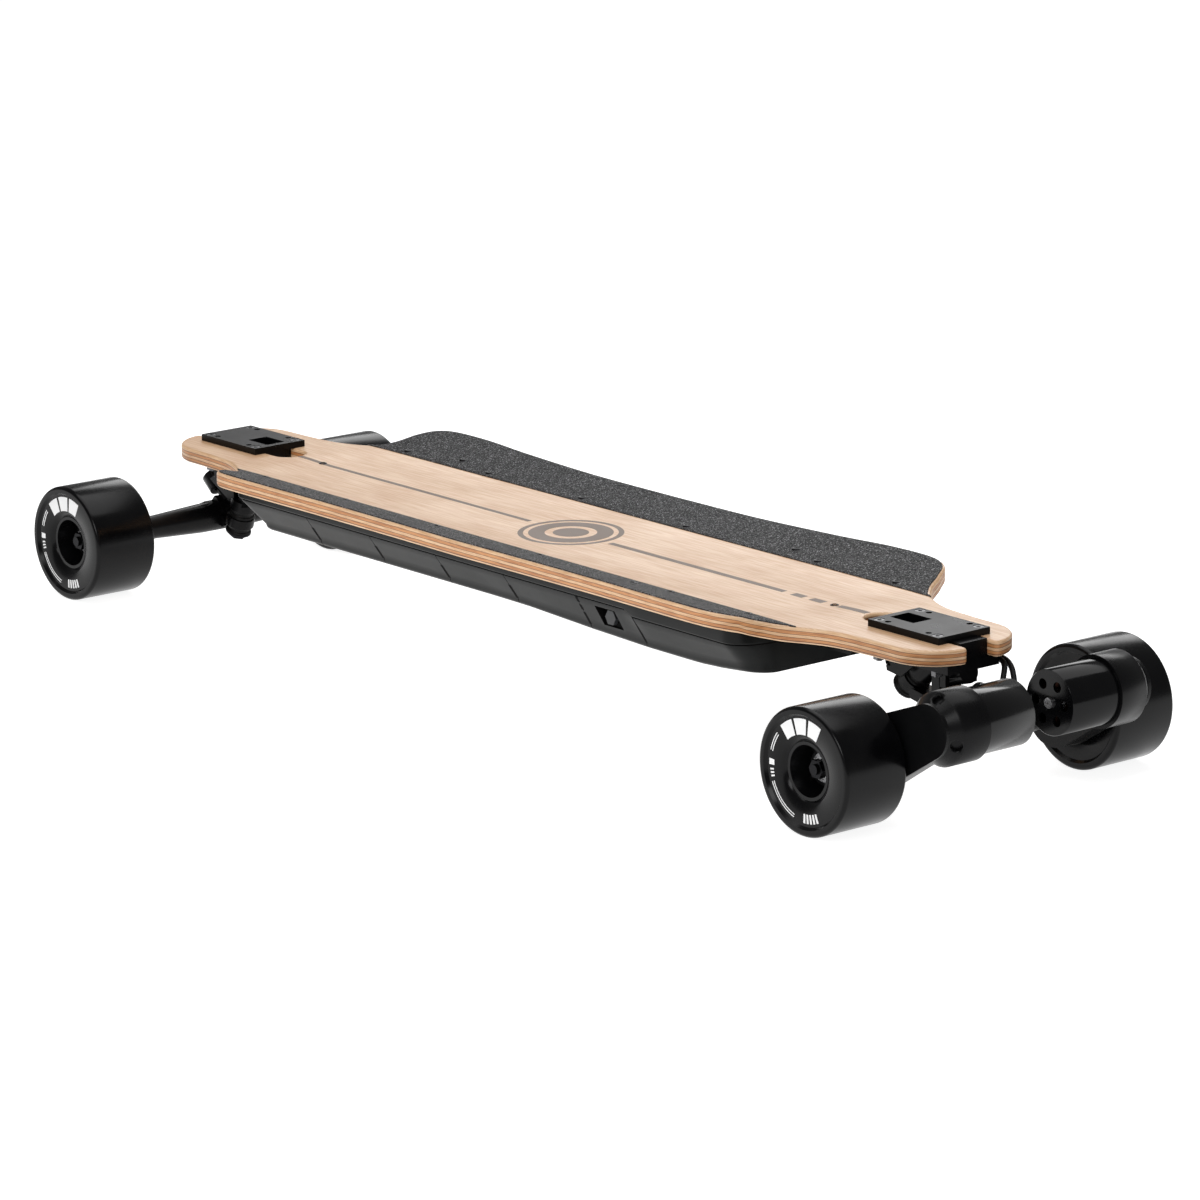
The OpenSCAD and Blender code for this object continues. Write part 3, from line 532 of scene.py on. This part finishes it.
edge_rows = [(EDGE_R + 0.5, 0.0)]
edge_rows += [edge_point(a) for a in EDGE_ANGLES[::-1]]
edge_rows += [(0.0, d) for d in PLY_LINES]
edge_rows += [(d, DECK_T - depth) for d, depth in map(edge_point, EDGE_ANGLES)]
edge_rows += [(EDGE_R + 0.5, DECK_T)]
# finishes: 0 face, 1 light ply, 2 warm ply, 3 glue line
edge_finish = [0, 0, 0, 1, 1, 1, 3, 2, 3, 1, 3, 2, 3, 1, 1, 1, 1]
CUTS_X = list(np.arange(-470, 471, 10.0))
HALF_CUTS_Y = (10, 20, 30, 38, 44, 50, 56, 60, 64, 68, 72, 76, 84, 96, 108, 118)
CUTS_Y = [s * y for y in HALF_CUTS_Y for s in (-1, 1)] + [0]
deck = slab(
    "deck_board", deck_loop(), edge_rows, edge_finish, [WOOD, PLY_LIGHT, PLY_WARM, PLY_GLUE],
    CUTS_X, CUTS_Y,
)
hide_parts("deck")


# ---- Grip tape ----

GRIP_T = 0.8
GRIP_INNER = 68.4
GRIP_INSET = 1.7
GRIP_TIP_X = 354.0
# The inset along the board grows from here, over this length
TIP_FADE_X, TIP_FADE_L = 293, 40


def grip_inset(x, y):
    """An outline point of the tape, drawn in from the deck's edge."""
    along = min(abs(x), GRIP_INSET * max(0, abs(x) - TIP_FADE_X) / TIP_FADE_L)
    across = GRIP_INSET if y > GRIP_INNER + 3 else 0
    return x - math.copysign(along, x), y - across


def grip_loop(side):
    """Outline of one strip of tape; side is 1 on the left and -1 on the right."""
    outer = [tuple(p) for p in spline(SHOULDER, 10)]
    line = [(x, y) for x, y in outer if y > GRIP_INNER + 1.5]
    right = line + [(GRIP_TIP_X, GRIP_INNER)]
    left = [(-x, y) for x, y in right[::-1]]
    loop = left[:-1] + right
    moved = [grip_inset(x, y) for x, y in loop]
    moved += [(x, GRIP_INNER) for x in np.linspace(338, -338, 30)]
    return [(x, side * y) for x, y in (moved[::-1] if side > 0 else moved)]


for side, name in ((1, "left"), (-1, "right")):
    tape = slab(
        f"grip_{name}", grip_loop(side), [(0.35, -GRIP_T), (0.0, 0.3 - GRIP_T), (0.0, 0.2)], [0, 0],
        [GRIT], CUTS_X, [c for c in CUTS_Y if c * side > 70],
    )
    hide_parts(f"griptape_{name}")


# ---- Prints on the deck ----

# Height of a print above the wood, and how far its underside is sunk
FILM, SUNK = 0.08, 0.2


STRIPE_STEP = 4.0


def strip(x0, x1, half):
    """Outline of a straight printed bar along the centre line."""
    n = max(2, int((x1 - x0) / STRIPE_STEP))
    xs = np.linspace(x0, x1, n)
    return [(x, -half) for x in xs] + [(x, half) for x in xs[::-1]]


def ring_parts(cx, r_in, r_out, steps=72):
    """A flat printed ring, or a disc when r_in is 0."""
    verts, faces = [], []
    for k in range(steps):
        a = 2 * math.pi * k / steps
        for r, lift in ((r_in, FILM), (r_out, FILM), (r_out, -SUNK), (r_in, -SUNK)):
            x, y = cx + r * math.cos(a), r * math.sin(a)
            verts.append(place(x, y, deck_top(x, y) + lift))
    for k in range(steps):
        k2 = (k + 1) % steps
        for i in range(4):
            j = (i + 1) % 4
            faces.append([4 * k + i, 4 * k + j, 4 * k2 + j, 4 * k2 + i])
    return verts, faces


# Printed bars: both ends and half the width
STRIPES = [
    (48, 356, 2.4), (-261, -53, 2.9), (-284, -271, 3.6), (-306, -292, 3.6), (-355, -323, 3.2),
]
for i, (x0, x1, half_width) in enumerate(STRIPES):
    slab(
        f"deck_stripe_{i + 1}", strip(x0, x1, half_width), [(0, -FILM), (0, SUNK)], [0],
        [PRINT_GREY], [], [],
    )
EMBLEM_X = -4
rings = [ring_parts(EMBLEM_X, a, b) for a, b in ((38.2, 42.6), (21, 34.2), (0.4, 14.5))]
piece("deck_emblem", *join_parts(rings), PRINT_GREY, "board", None, smooth=False)


# ---- Screws in the deck ----

SCREW_PLACES = [
    (304, 76), (239, 84), (194, 76), (73, 76), (-58, 76), (-180, 84), (-215, 76), (-305, 76),
]
CENTRE_SCREWS = (324, -318)


def screw_head(x, y, lift, r=4.3):
    """Low domed head with a round socket where the real one is hexagonal, standing on the tape or the
    wood.
    """
    base = deck_top(x, y) + lift
    prof = [
        (0.01, -0.7), (1.9, -0.7), (2.0, 0.25), (2.6, 0.42), (r - 0.8, 0.3),
        (r - 0.15, 0.0), (r, -0.35), (r, -1.2), (0.01, -1.2),
    ]
    verts, faces = [], []
    steps = 24
    for k in range(steps):
        a = 2 * math.pi * k / steps
        for rr, h in prof:
            verts.append(place(x + rr * math.cos(a), y + rr * math.sin(a), base + h))
    n = len(prof)
    for k in range(steps):
        k2 = (k + 1) % steps
        for i in range(n - 1):
            faces.append([k * n + i, k * n + i + 1, k2 * n + i + 1, k2 * n + i])
    faces.append([k * n for k in range(steps)])
    faces.append([k * n + n - 1 for k in range(steps)][::-1])
    return verts, faces


heads = [screw_head(x, s * y, GRIP_T) for x, y in SCREW_PLACES for s in (-1, 1)]
heads += [screw_head(x, 0, 0.25, 3.6) for x in CENTRE_SCREWS]
screws = piece("deck_screws", *join_parts(heads), DARK_STEEL, "board", "black_steel")
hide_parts("enclosure_screws")


# ---- Wheels ----

WHEEL_R, TREAD_HALF = 48.5, 29.35


LIP_R = 3.0


def tyre_profile():
    """Half section of a tyre: bore, dished face and rounded lip, on both sides."""
    w = TREAD_HALF
    half = [(21.9, 23.2), (22.3, 24.0), (26.6, 27.0), (40.9, 27.0), (42.9, 29.2), (45.6, w)]
    turns = [math.radians(a) for a in (15, 30, 45, 60, 75, 90)]
    lip = [(WHEEL_R - LIP_R + LIP_R * math.sin(a), w - LIP_R + LIP_R * math.cos(a)) for a in turns]
    out = half + lip
    return out + [(rr, -h) for rr, h in out[::-1]]


def print_patch(r0, r1, a0, a1, lift, centre, side):
    """A thin printed patch on a wheel's face, from polar limits."""
    steps = max(2, int(abs(a1 - a0) / 3))
    verts, faces = [], []
    for k in range(steps + 1):
        a = math.radians(a0 + (a1 - a0) * k / steps)
        for r, h in ((r0, lift), (r1, lift), (r1, lift - 0.15), (r0, lift - 0.15)):
            verts.append((
                centre[0] - r * MM * math.cos(a), centre[1] + side * h * MM,
                centre[2] + r * MM * math.sin(a),
            ))
    for k in range(steps):
        for i in range(4):
            j = (i + 1) % 4
            faces.append([4 * k + i, 4 * k + j, 4 * k + 4 + j, 4 * k + 4 + i])
    faces += [[3, 2, 1, 0], [4 * steps + i for i in range(4)]]
    return verts, faces


# Distance of the print from the tyre's middle, just above its dished face
PRINT_LIFT = 27.06
# Patches as (inner radius, outer radius, first angle, last angle)
WHEEL_PRINT = [(27.5, 39.5, 64, 84), (27.5, 39.5, 88, 108), (27.5, 39.5, 112, 132)]
WHEEL_PRINT += [(r, r + 0.8, a, b) for r in (35.6, 37.6) for a, b in ((142, 166), (202, 252))]
WHEEL_PRINT += [(33.2, 38.6, 176, 183)] + [(34.0, 37.8, a, a + 2) for a in (187, 191, 195)]
WHEEL_PRINT += [(31.5, 38.5, a, a + 3.2) for a in (268, 273.5, 279, 284.5, 290)]

for end in ("front", "rear"):
    for side_name, side in (("left", 1), ("right", -1)):
        wheel = f"{end}_{side_name}"
        body = f"{wheel}_wheel"
        lo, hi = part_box(f"{wheel}_tyre")
        centre = (lo + hi) / 2
        turned = lathe(tyre_profile(), centre, side, 160)
        tyre = piece(f"tyre_{wheel}", *turned, URETHANE, body, "urethane")
        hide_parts(f"{wheel}_tyre")
        patches = [print_patch(*p, PRINT_LIFT, centre, side) for p in WHEEL_PRINT]
        piece(f"wheel_print_{wheel}", *join_parts(patches), PRINT_WHITE, body, None, smooth=False)


# ---- Motor cables ----

# Routes from the cover under the deck to the motors' inner faces, as in the CAD (u, y, z)
CABLE_R = 2.2
CABLE_ROUTES = {
    "left": [
        (366, -17, 99), (374, -17.5, 99), (382, -23, 99.5), (391, -28.8, 100), (402, -30, 100),
        (440, -30, 100), (466, -30, 99.5), (476, -26.5, 97), (483, -19, 91), (491, -9, 83),
        (499, 0, 77), (507, 7, 73.8), (513, 12.5, 73), (513, 18.5, 73),
    ],
    "right": [
        (366, -24.5, 99), (374, -25.5, 99), (383, -31, 99.5), (392, -35.4, 100), (402, -36, 100),
        (440, -36, 100), (464, -35.5, 99), (476, -33, 95.5), (486, -27, 88), (494, -19.5, 80.5),
        (501, -13, 76), (508, -11.5, 73.8), (513, -13.5, 73), (513, -18.5, 73),
    ],
}
# Each cable is two pieces that meet at this point of its route. The other two numbers mark spans: the
# first piece's from its sixth point on, the second's over its first three.
SPLIT, FIRST_BEND, SECOND_BEND = 9, 6, 3
CABLE_STEPS = 6
for name, points in CABLE_ROUTES.items():
    route = [place(-p[0], p[1], p[2]) for p in spline(points, CABLE_STEPS) + [points[-1]]]
    cut = SPLIT * CABLE_STEPS
    for k, (run, a, b, s, e) in enumerate((
        (route[: cut + 1], "board", "rear_arm", FIRST_BEND * CABLE_STEPS, cut - 1),
        (route[cut:], "rear_arm", "rear_hanger", 1, SECOND_BEND * CABLE_STEPS),
    )):
        verts, faces = sweep(run, CABLE_R)
        cable = piece(f"motor_cable_{name}_{k + 1}", verts, faces, RUBBER, None, "cable")
        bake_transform(cable)
        if k == 0:
            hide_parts(f"motor_cable_{name}")


# ---- Enclosure ----

# WALL_LEAN is how far the side walls draw in on their way down
WALL_LEAN = 15.0
NOSE_X, REAR_X, TOP_HALF = 319.0, -319.0, 93.0
REAR_CENTRE = (-297.0, 57.0)
NOSE_CORNER = 8.0
BELLY_R = 5.0
BELLY_X = [-319, -300, -275, -250, -190, -123, -45, 0, 320]
BELLY_Z = [75.2, 74.4, 72.2, 70.9, 71.1, 72.9, 76.0, 76.5, 76.5]
SEAM_A, SEAM_B = -123.0, -190.0
PANEL_SEAMS = [223.7, 139.2, 53.0, -33.3]
LINE_BATTERY, LINE_REAR = 102.6, 98.2


# The nose leans a little less than the sides do
NOSE_LEAN = 0.93


def enclosure_ring(d):
    """Plan outline of the enclosure, drawn in by d; the rear face stays upright."""
    h, nose = TOP_HALF - d, NOSE_X - NOSE_LEAN * d
    half = [(nose, y) for y in np.linspace(0, h - NOSE_CORNER, 6)]
    half += arc(nose - NOSE_CORNER, h - NOSE_CORNER, NOSE_CORNER, 0, 90, 6)[1:]
    half += [(x, h) for x in np.linspace(nose - NOSE_CORNER - 4, REAR_CENTRE[0] + 4, 60)]
    cx, cy = REAR_CENTRE
    for a in range(0, 91, 6):
        r = math.radians(a)
        half.append((cx + (REAR_X - cx) * math.sin(r), cy + (h - cy) * math.cos(r)))
    half += [(REAR_X, y) for y in np.linspace(cy, 0, 6)[1:]]
    return half + [(x, -y) for x, y in half[-2:0:-1]]


def belly_z(x):
    """Height of the enclosure's flat underside."""
    return float(np.interp(x, BELLY_X, BELLY_Z))


def line_z(x):
    """Height of the painted shade line between the lip and the wall."""
    return LINE_BATTERY + (LINE_REAR - LINE_BATTERY) * float(ease((SEAM_B + 6 - x) / 8))


def wall_point(x, y, f, out=0.0):
    """A point of the leaning side wall, f from 0 at its top to 1 at the belly's rounding."""
    top, low = line_z(x), belly_z(x) + BELLY_R
    return x, math.copysign(TOP_HALF - WALL_LEAN * f + out, y), top + (low - top) * f


# The walls' top edge is broken by this much
TOP_BREAK = 0.35


def wall_rings():
    """Rings of the enclosure's walls, from the line under the lip down to the belly."""
    rings = []
    for f in (0.0, 0.04, 0.25, 0.5, 0.75, 1.0):
        d = WALL_LEAN * f + (TOP_BREAK if f == 0 else 0)
        ring = enclosure_ring(d)
        rings.append([
            (x, y, line_z(x) + (belly_z(x) + BELLY_R - line_z(x)) * f) for x, y in ring
        ])
    for a in (20, 40, 60, 80, 90):
        r = math.radians(a)
        d = WALL_LEAN + BELLY_R * (1 - math.cos(r))
        rings.append([(x, y, belly_z(x) + BELLY_R * (1 - math.sin(r))) for x, y in enclosure_ring(d)])
    return rings


def loft(rings):
    """A closed bmesh through rings of points, top ring first, in deck millimetres."""
    bm = bmesh.new()
    rows = [[bm.verts.new(p) for p in ring] for ring in rings]
    n = len(rows[0])
    for a, b in zip(rows, rows[1:]):
        for i in range(n):
            j = (i + 1) % n
            bm.faces.new([a[i], b[i], b[j], a[j]])
    # caps as strips across, so that they follow a curved rim
    for row, flip in ((rows[0], False), (rows[-1], True)):
        m = n // 2
        for i in range(m):
            j = (n - i) % n
            quad = [row[i], row[i + 1], row[(n - i - 1) % n], row[j]]
            quad = [v for k, v in enumerate(quad) if v not in quad[:k]]
            bm.faces.new(quad[::-1] if flip else quad)
    bmesh.ops.recalc_face_normals(bm, faces=bm.faces)
    return bm


def keep_between(bm, x0, x1):
    """The part of a closed bmesh between two places along X, closed again."""
    for at, sign in ((x1, 1), (x0, -1)):
        if at is None:
            continue
        bmesh.ops.bisect_plane(
            bm, geom=bm.verts[:] + bm.edges[:] + bm.faces[:], dist=CUT_DIST,
            plane_co=(at, 0, 0), plane_no=(sign, 0, 0), clear_outer=True,
        )
        bmesh.ops.holes_fill(bm, edges=[e for e in bm.edges if e.is_boundary])
    return bm


def bm_parts(bm):
    """(verts, faces) of a bmesh, moved to the row frame; the bmesh is freed."""
    bm.verts.index_update()
    verts = [place(*v.co) for v in bm.verts]
    faces = [[v.index for v in f.verts] for f in bm.faces]
    bm.free()
    return verts, faces


# Half the open seam between two shells
GAP = 0.35
edges = [None] + PANEL_SEAMS + [SEAM_A]
shells = []
for high, low in zip(edges, edges[1:]):
    bm = keep_between(loft(wall_rings()), low + GAP, None if high is None else high - GAP)
    shells.append(bm_parts(bm))
battery = piece("battery_shells", *join_parts(shells), SHELL, "board", "enclosure")
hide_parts("battery_segments")

bay_bm = keep_between(loft(wall_rings()), SEAM_B + GAP, SEAM_A - GAP)
bay = piece("port_bay_shell", *bm_parts(bay_bm), [SHELL, SEAM_SHADE], "board", "enclosure")
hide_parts("port_bay")
tail_bm = keep_between(loft(wall_rings()), None, SEAM_B - GAP)
controller = piece("controller_shell", *bm_parts(tail_bm), SHELL, "board", "enclosure")
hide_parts("controller_housing")


BOX_FACES = [
    [0, 1, 3, 2], [4, 6, 7, 5], [0, 4, 5, 1], [2, 3, 7, 6], [0, 2, 6, 4], [1, 5, 7, 3],
]


def box_parts(x0, x1, y0, y1, z0, z1):
    """(verts, faces) of a box, for cutting."""
    corners = [(x, y, z) for x in (x0, x1) for y in (y0, y1) for z in (z0, z1)]
    return [place(*p) for p in corners], BOX_FACES


def cut_out(obj, parts, finish):
    """Cuts a closed shape out of a piece; the new faces take the given finish."""
    mesh = bpy.data.meshes.new("cutter")
    mesh.from_pydata([tuple(v) for v in parts[0]], [], parts[1])
    bm = bmesh.new()
    bm.from_mesh(mesh)
    bmesh.ops.recalc_face_normals(bm, faces=bm.faces)
    bm.to_mesh(mesh)
    bm.free()
    mesh.materials.append(finish)
    cutter = bpy.data.objects.new("cutter", mesh)
    bpy.context.scene.collection.objects.link(cutter)
    mod = obj.modifiers.new("cut", "BOOLEAN")
    mod.operation, mod.solver, mod.object = "DIFFERENCE", "EXACT", cutter
    mod.material_mode = "TRANSFER"
    bpy.context.view_layer.update()
    done = bpy.data.meshes.new_from_object(obj.evaluated_get(bpy.context.evaluated_depsgraph_get()))
    obj.modifiers.clear()
    obj.data = done
    bpy.data.objects.remove(cutter)
    done.shade_smooth()
    done.set_sharp_from_angle(angle=math.radians(40))


button_lo, button_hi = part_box("power_button")
PORT_X = ((button_lo.x + button_hi.x) / 2 - SHIFT) / MM
PORT_Z, PORT_W, PORT_H, PORT_FLOOR = 90.0, 24.0, 17.0, 79.0
port_x = (PORT_X - PORT_W / 2, PORT_X + PORT_W / 2)
port_z = (PORT_Z - PORT_H / 2, PORT_Z + PORT_H / 2)
# The recess's cut faces take the near-black seam material: painted shade inside the recess.
for s in (-1, 1):
    y0, y1 = sorted((s * PORT_FLOOR, s * 110))
    cut_out(bay, box_parts(*port_x, y0, y1, *port_z), SEAM_SHADE)

# Holes in the recess's floor: (side, radius, depth) of the button's and the socket's; their walls are
# painted shade too.
PORT_HOLES = ((1, 4.35, 30), (-1, 8.55, 14))
HOLE_OUT = 6
for s, r, depth in PORT_HOLES:
    inner, outer = PORT_FLOOR - depth, PORT_FLOOR + HOLE_OUT
    profile = [(0.0, inner), (r, inner), (r, outer), (0.0, outer)]
    hole = lathe(profile, place(PORT_X, 0, PORT_Z), s, 40, closed=False)
    mesh = bpy.data.meshes.new("hole")
    mesh.from_pydata([tuple(v) for v in hole[0]], [], hole[1])
    hole_bm = bmesh.new()
    hole_bm.from_mesh(mesh)
    bmesh.ops.remove_doubles(hole_bm, verts=hole_bm.verts, dist=MERGE_DIST)
    hole_bm.verts.index_update()
    verts = [tuple(v.co) for v in hole_bm.verts]
    faces = [[v.index for v in f.verts] for f in hole_bm.faces]
    cut_out(bay, (verts, faces), SEAM_SHADE)
    hole_bm.free()


# ---- Lip under the deck, and the painted shade line below it ----


def under_deck(x, y):
    """Height of the deck's underside."""
    return deck_top(x, y) - DECK_T


LIP_OUT = -1.6
lip_rings = [[(x, y, under_deck(x, y) + 1.0) for x, y in enclosure_ring(LIP_OUT)]]
for d, up in ((LIP_OUT, 2.4), (-1.2, 1.65), (-0.6, 1.2)):
    lip_rings.append([(x, y, line_z(x) + up) for x, y in enclosure_ring(d)])
lip = piece("enclosure_lip", *bm_parts(loft(lip_rings)), SHELL, "board", "enclosure")
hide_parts("enclosure_tray")
# A near-black ring under the lip: painted shade in the seam between the lip and the wall.
shade_line_rings = [[(x, y, line_z(x) + up) for x, y in enclosure_ring(1.4)] for up in (1.6, -0.4)]
piece("enclosure_shade_line", *bm_parts(loft(shade_line_rings)), SEAM_SHADE, "board", "enclosure")


def wall_shade_patch(x0, x1, f0, f1, side, proud=0.12, rows=4):
    """A thin patch of painted shade on the side wall, between two places and two heights."""
    verts, faces = [], []
    for r in range(rows + 1):
        f = f0 + (f1 - f0) * r / rows
        for x, out in ((x0, proud), (x1, proud), (x1, -0.4), (x0, -0.4)):
            verts.append(place(*wall_point(x, side, f, out)))
    for r in range(rows):
        for i in range(4):
            j = (i + 1) % 4
            faces.append([4 * r + i, 4 * r + j, 4 * r + 4 + j, 4 * r + 4 + i])
    faces += [[3, 2, 1, 0], [4 * rows + i for i in range(4)]]
    return verts, faces


# Dark patches on the walls at the seams between shells: painted shade, wider than the real gaps.
seam_shade_patches = []
for side in (-1, 1):
    for x in PANEL_SEAMS:
        seam_shade_patches.append(wall_shade_patch(x - 1.5, x + 1.5, 0.42, 0.97, side))
    for f0, f1 in ((0.02, 0.2), (0.3, 0.48), (0.58, 1.0)):
        seam_shade_patches.append(wall_shade_patch(SEAM_A - 1.4, SEAM_A + 1.4, f0, f1, side))
    seam_shade_patches.append(wall_shade_patch(SEAM_B - 1.1, SEAM_B + 1.1, 0.0, 1.0, side))
piece("enclosure_seam_shade", *join_parts(seam_shade_patches), SEAM_SHADE, "board", "enclosure", smooth=False)


# ---- CAD nodes that show: doubled vertices joined ----

WELD_DIST = 2e-5
for name, node in frame["nodes"].items():
    if not node.hide_render:
        node.modifiers.new("weld", "WELD").merge_threshold = WELD_DIST


# ---- Floor, light and camera ----


def area(name, at, target, size, power):
    """A soft rectangular light at one place, turned to another."""
    light = bpy.data.lights.new(name, "AREA")
    light.shape = "RECTANGLE"
    light.size, light.size_y = size
    light.energy = power
    obj = bpy.data.objects.new(name, light)
    bpy.context.scene.collection.objects.link(obj)
    obj.location = at
    obj.rotation_mode = "QUATERNION"
    obj.rotation_quaternion = (Vector(target) - Vector(at)).to_track_quat("-Z", "Y")


floor_finish = Finish("floor_white", (0.5, 0.5, 0.5, 1), 0.9, specular=0.05)
floor_finish.set("Emission Color", WHITE)
floor_finish.set("Emission Strength", 0.9)
floor_mesh = bpy.data.meshes.new("floor")
FLOOR_HALF = 60.0
corners = [(x * FLOOR_HALF, y * FLOOR_HALF, 0) for x, y in ((-1, -1), (1, -1), (1, 1), (-1, 1))]
floor_mesh.from_pydata(corners, [], [(0, 1, 2, 3)])
floor_mesh.materials.append(floor_finish.mat)
floor = bpy.data.objects.new("floor", floor_mesh)
bpy.context.scene.collection.objects.link(floor)

world = bpy.data.worlds.new("studio")
bpy.context.scene.world = world
world.use_nodes = True
world.node_tree.nodes["Background"].inputs[0].default_value = WHITE
world.node_tree.nodes["Background"].inputs[1].default_value = 0.22

area("overhead", (0.2, 0.0, 2.6), (0, 0, 0), (3.4, 2.6), 58)
area("key", (-1.6, 2.4, 1.7), (0, 0, 0.1), (1.6, 1.0), 26)
area("back", (1.8, -2.2, 1.5), (0, 0, 0.1), (2.2, 1.0), 22)

CAMERA_AT = place(-3457.41, 2820.36, 1189.44)
CAMERA_TARGET = place(-14.84, -20.50, 60.0)
ROLL = 0.0081
camera = bpy.data.cameras.new("camera")
camera.lens = 172.83
camera.sensor_width = 36.0
camera.clip_start, camera.clip_end = 0.05, 100
cam = bpy.data.objects.new("camera", camera)
bpy.context.scene.collection.objects.link(cam)
back = (CAMERA_AT - CAMERA_TARGET).normalized()
right = Vector((0, 0, 1)).cross(back).normalized()
up = back.cross(right)
right, up = right * math.cos(ROLL) - up * math.sin(ROLL), right * math.sin(ROLL) + up * math.cos(ROLL)
turn = Matrix((right, up, back)).transposed()
cam.matrix_world = Matrix.Translation(CAMERA_AT) @ turn.to_4x4()
bpy.context.scene.camera = cam
bpy.context.scene.view_settings.view_transform = "Standard"
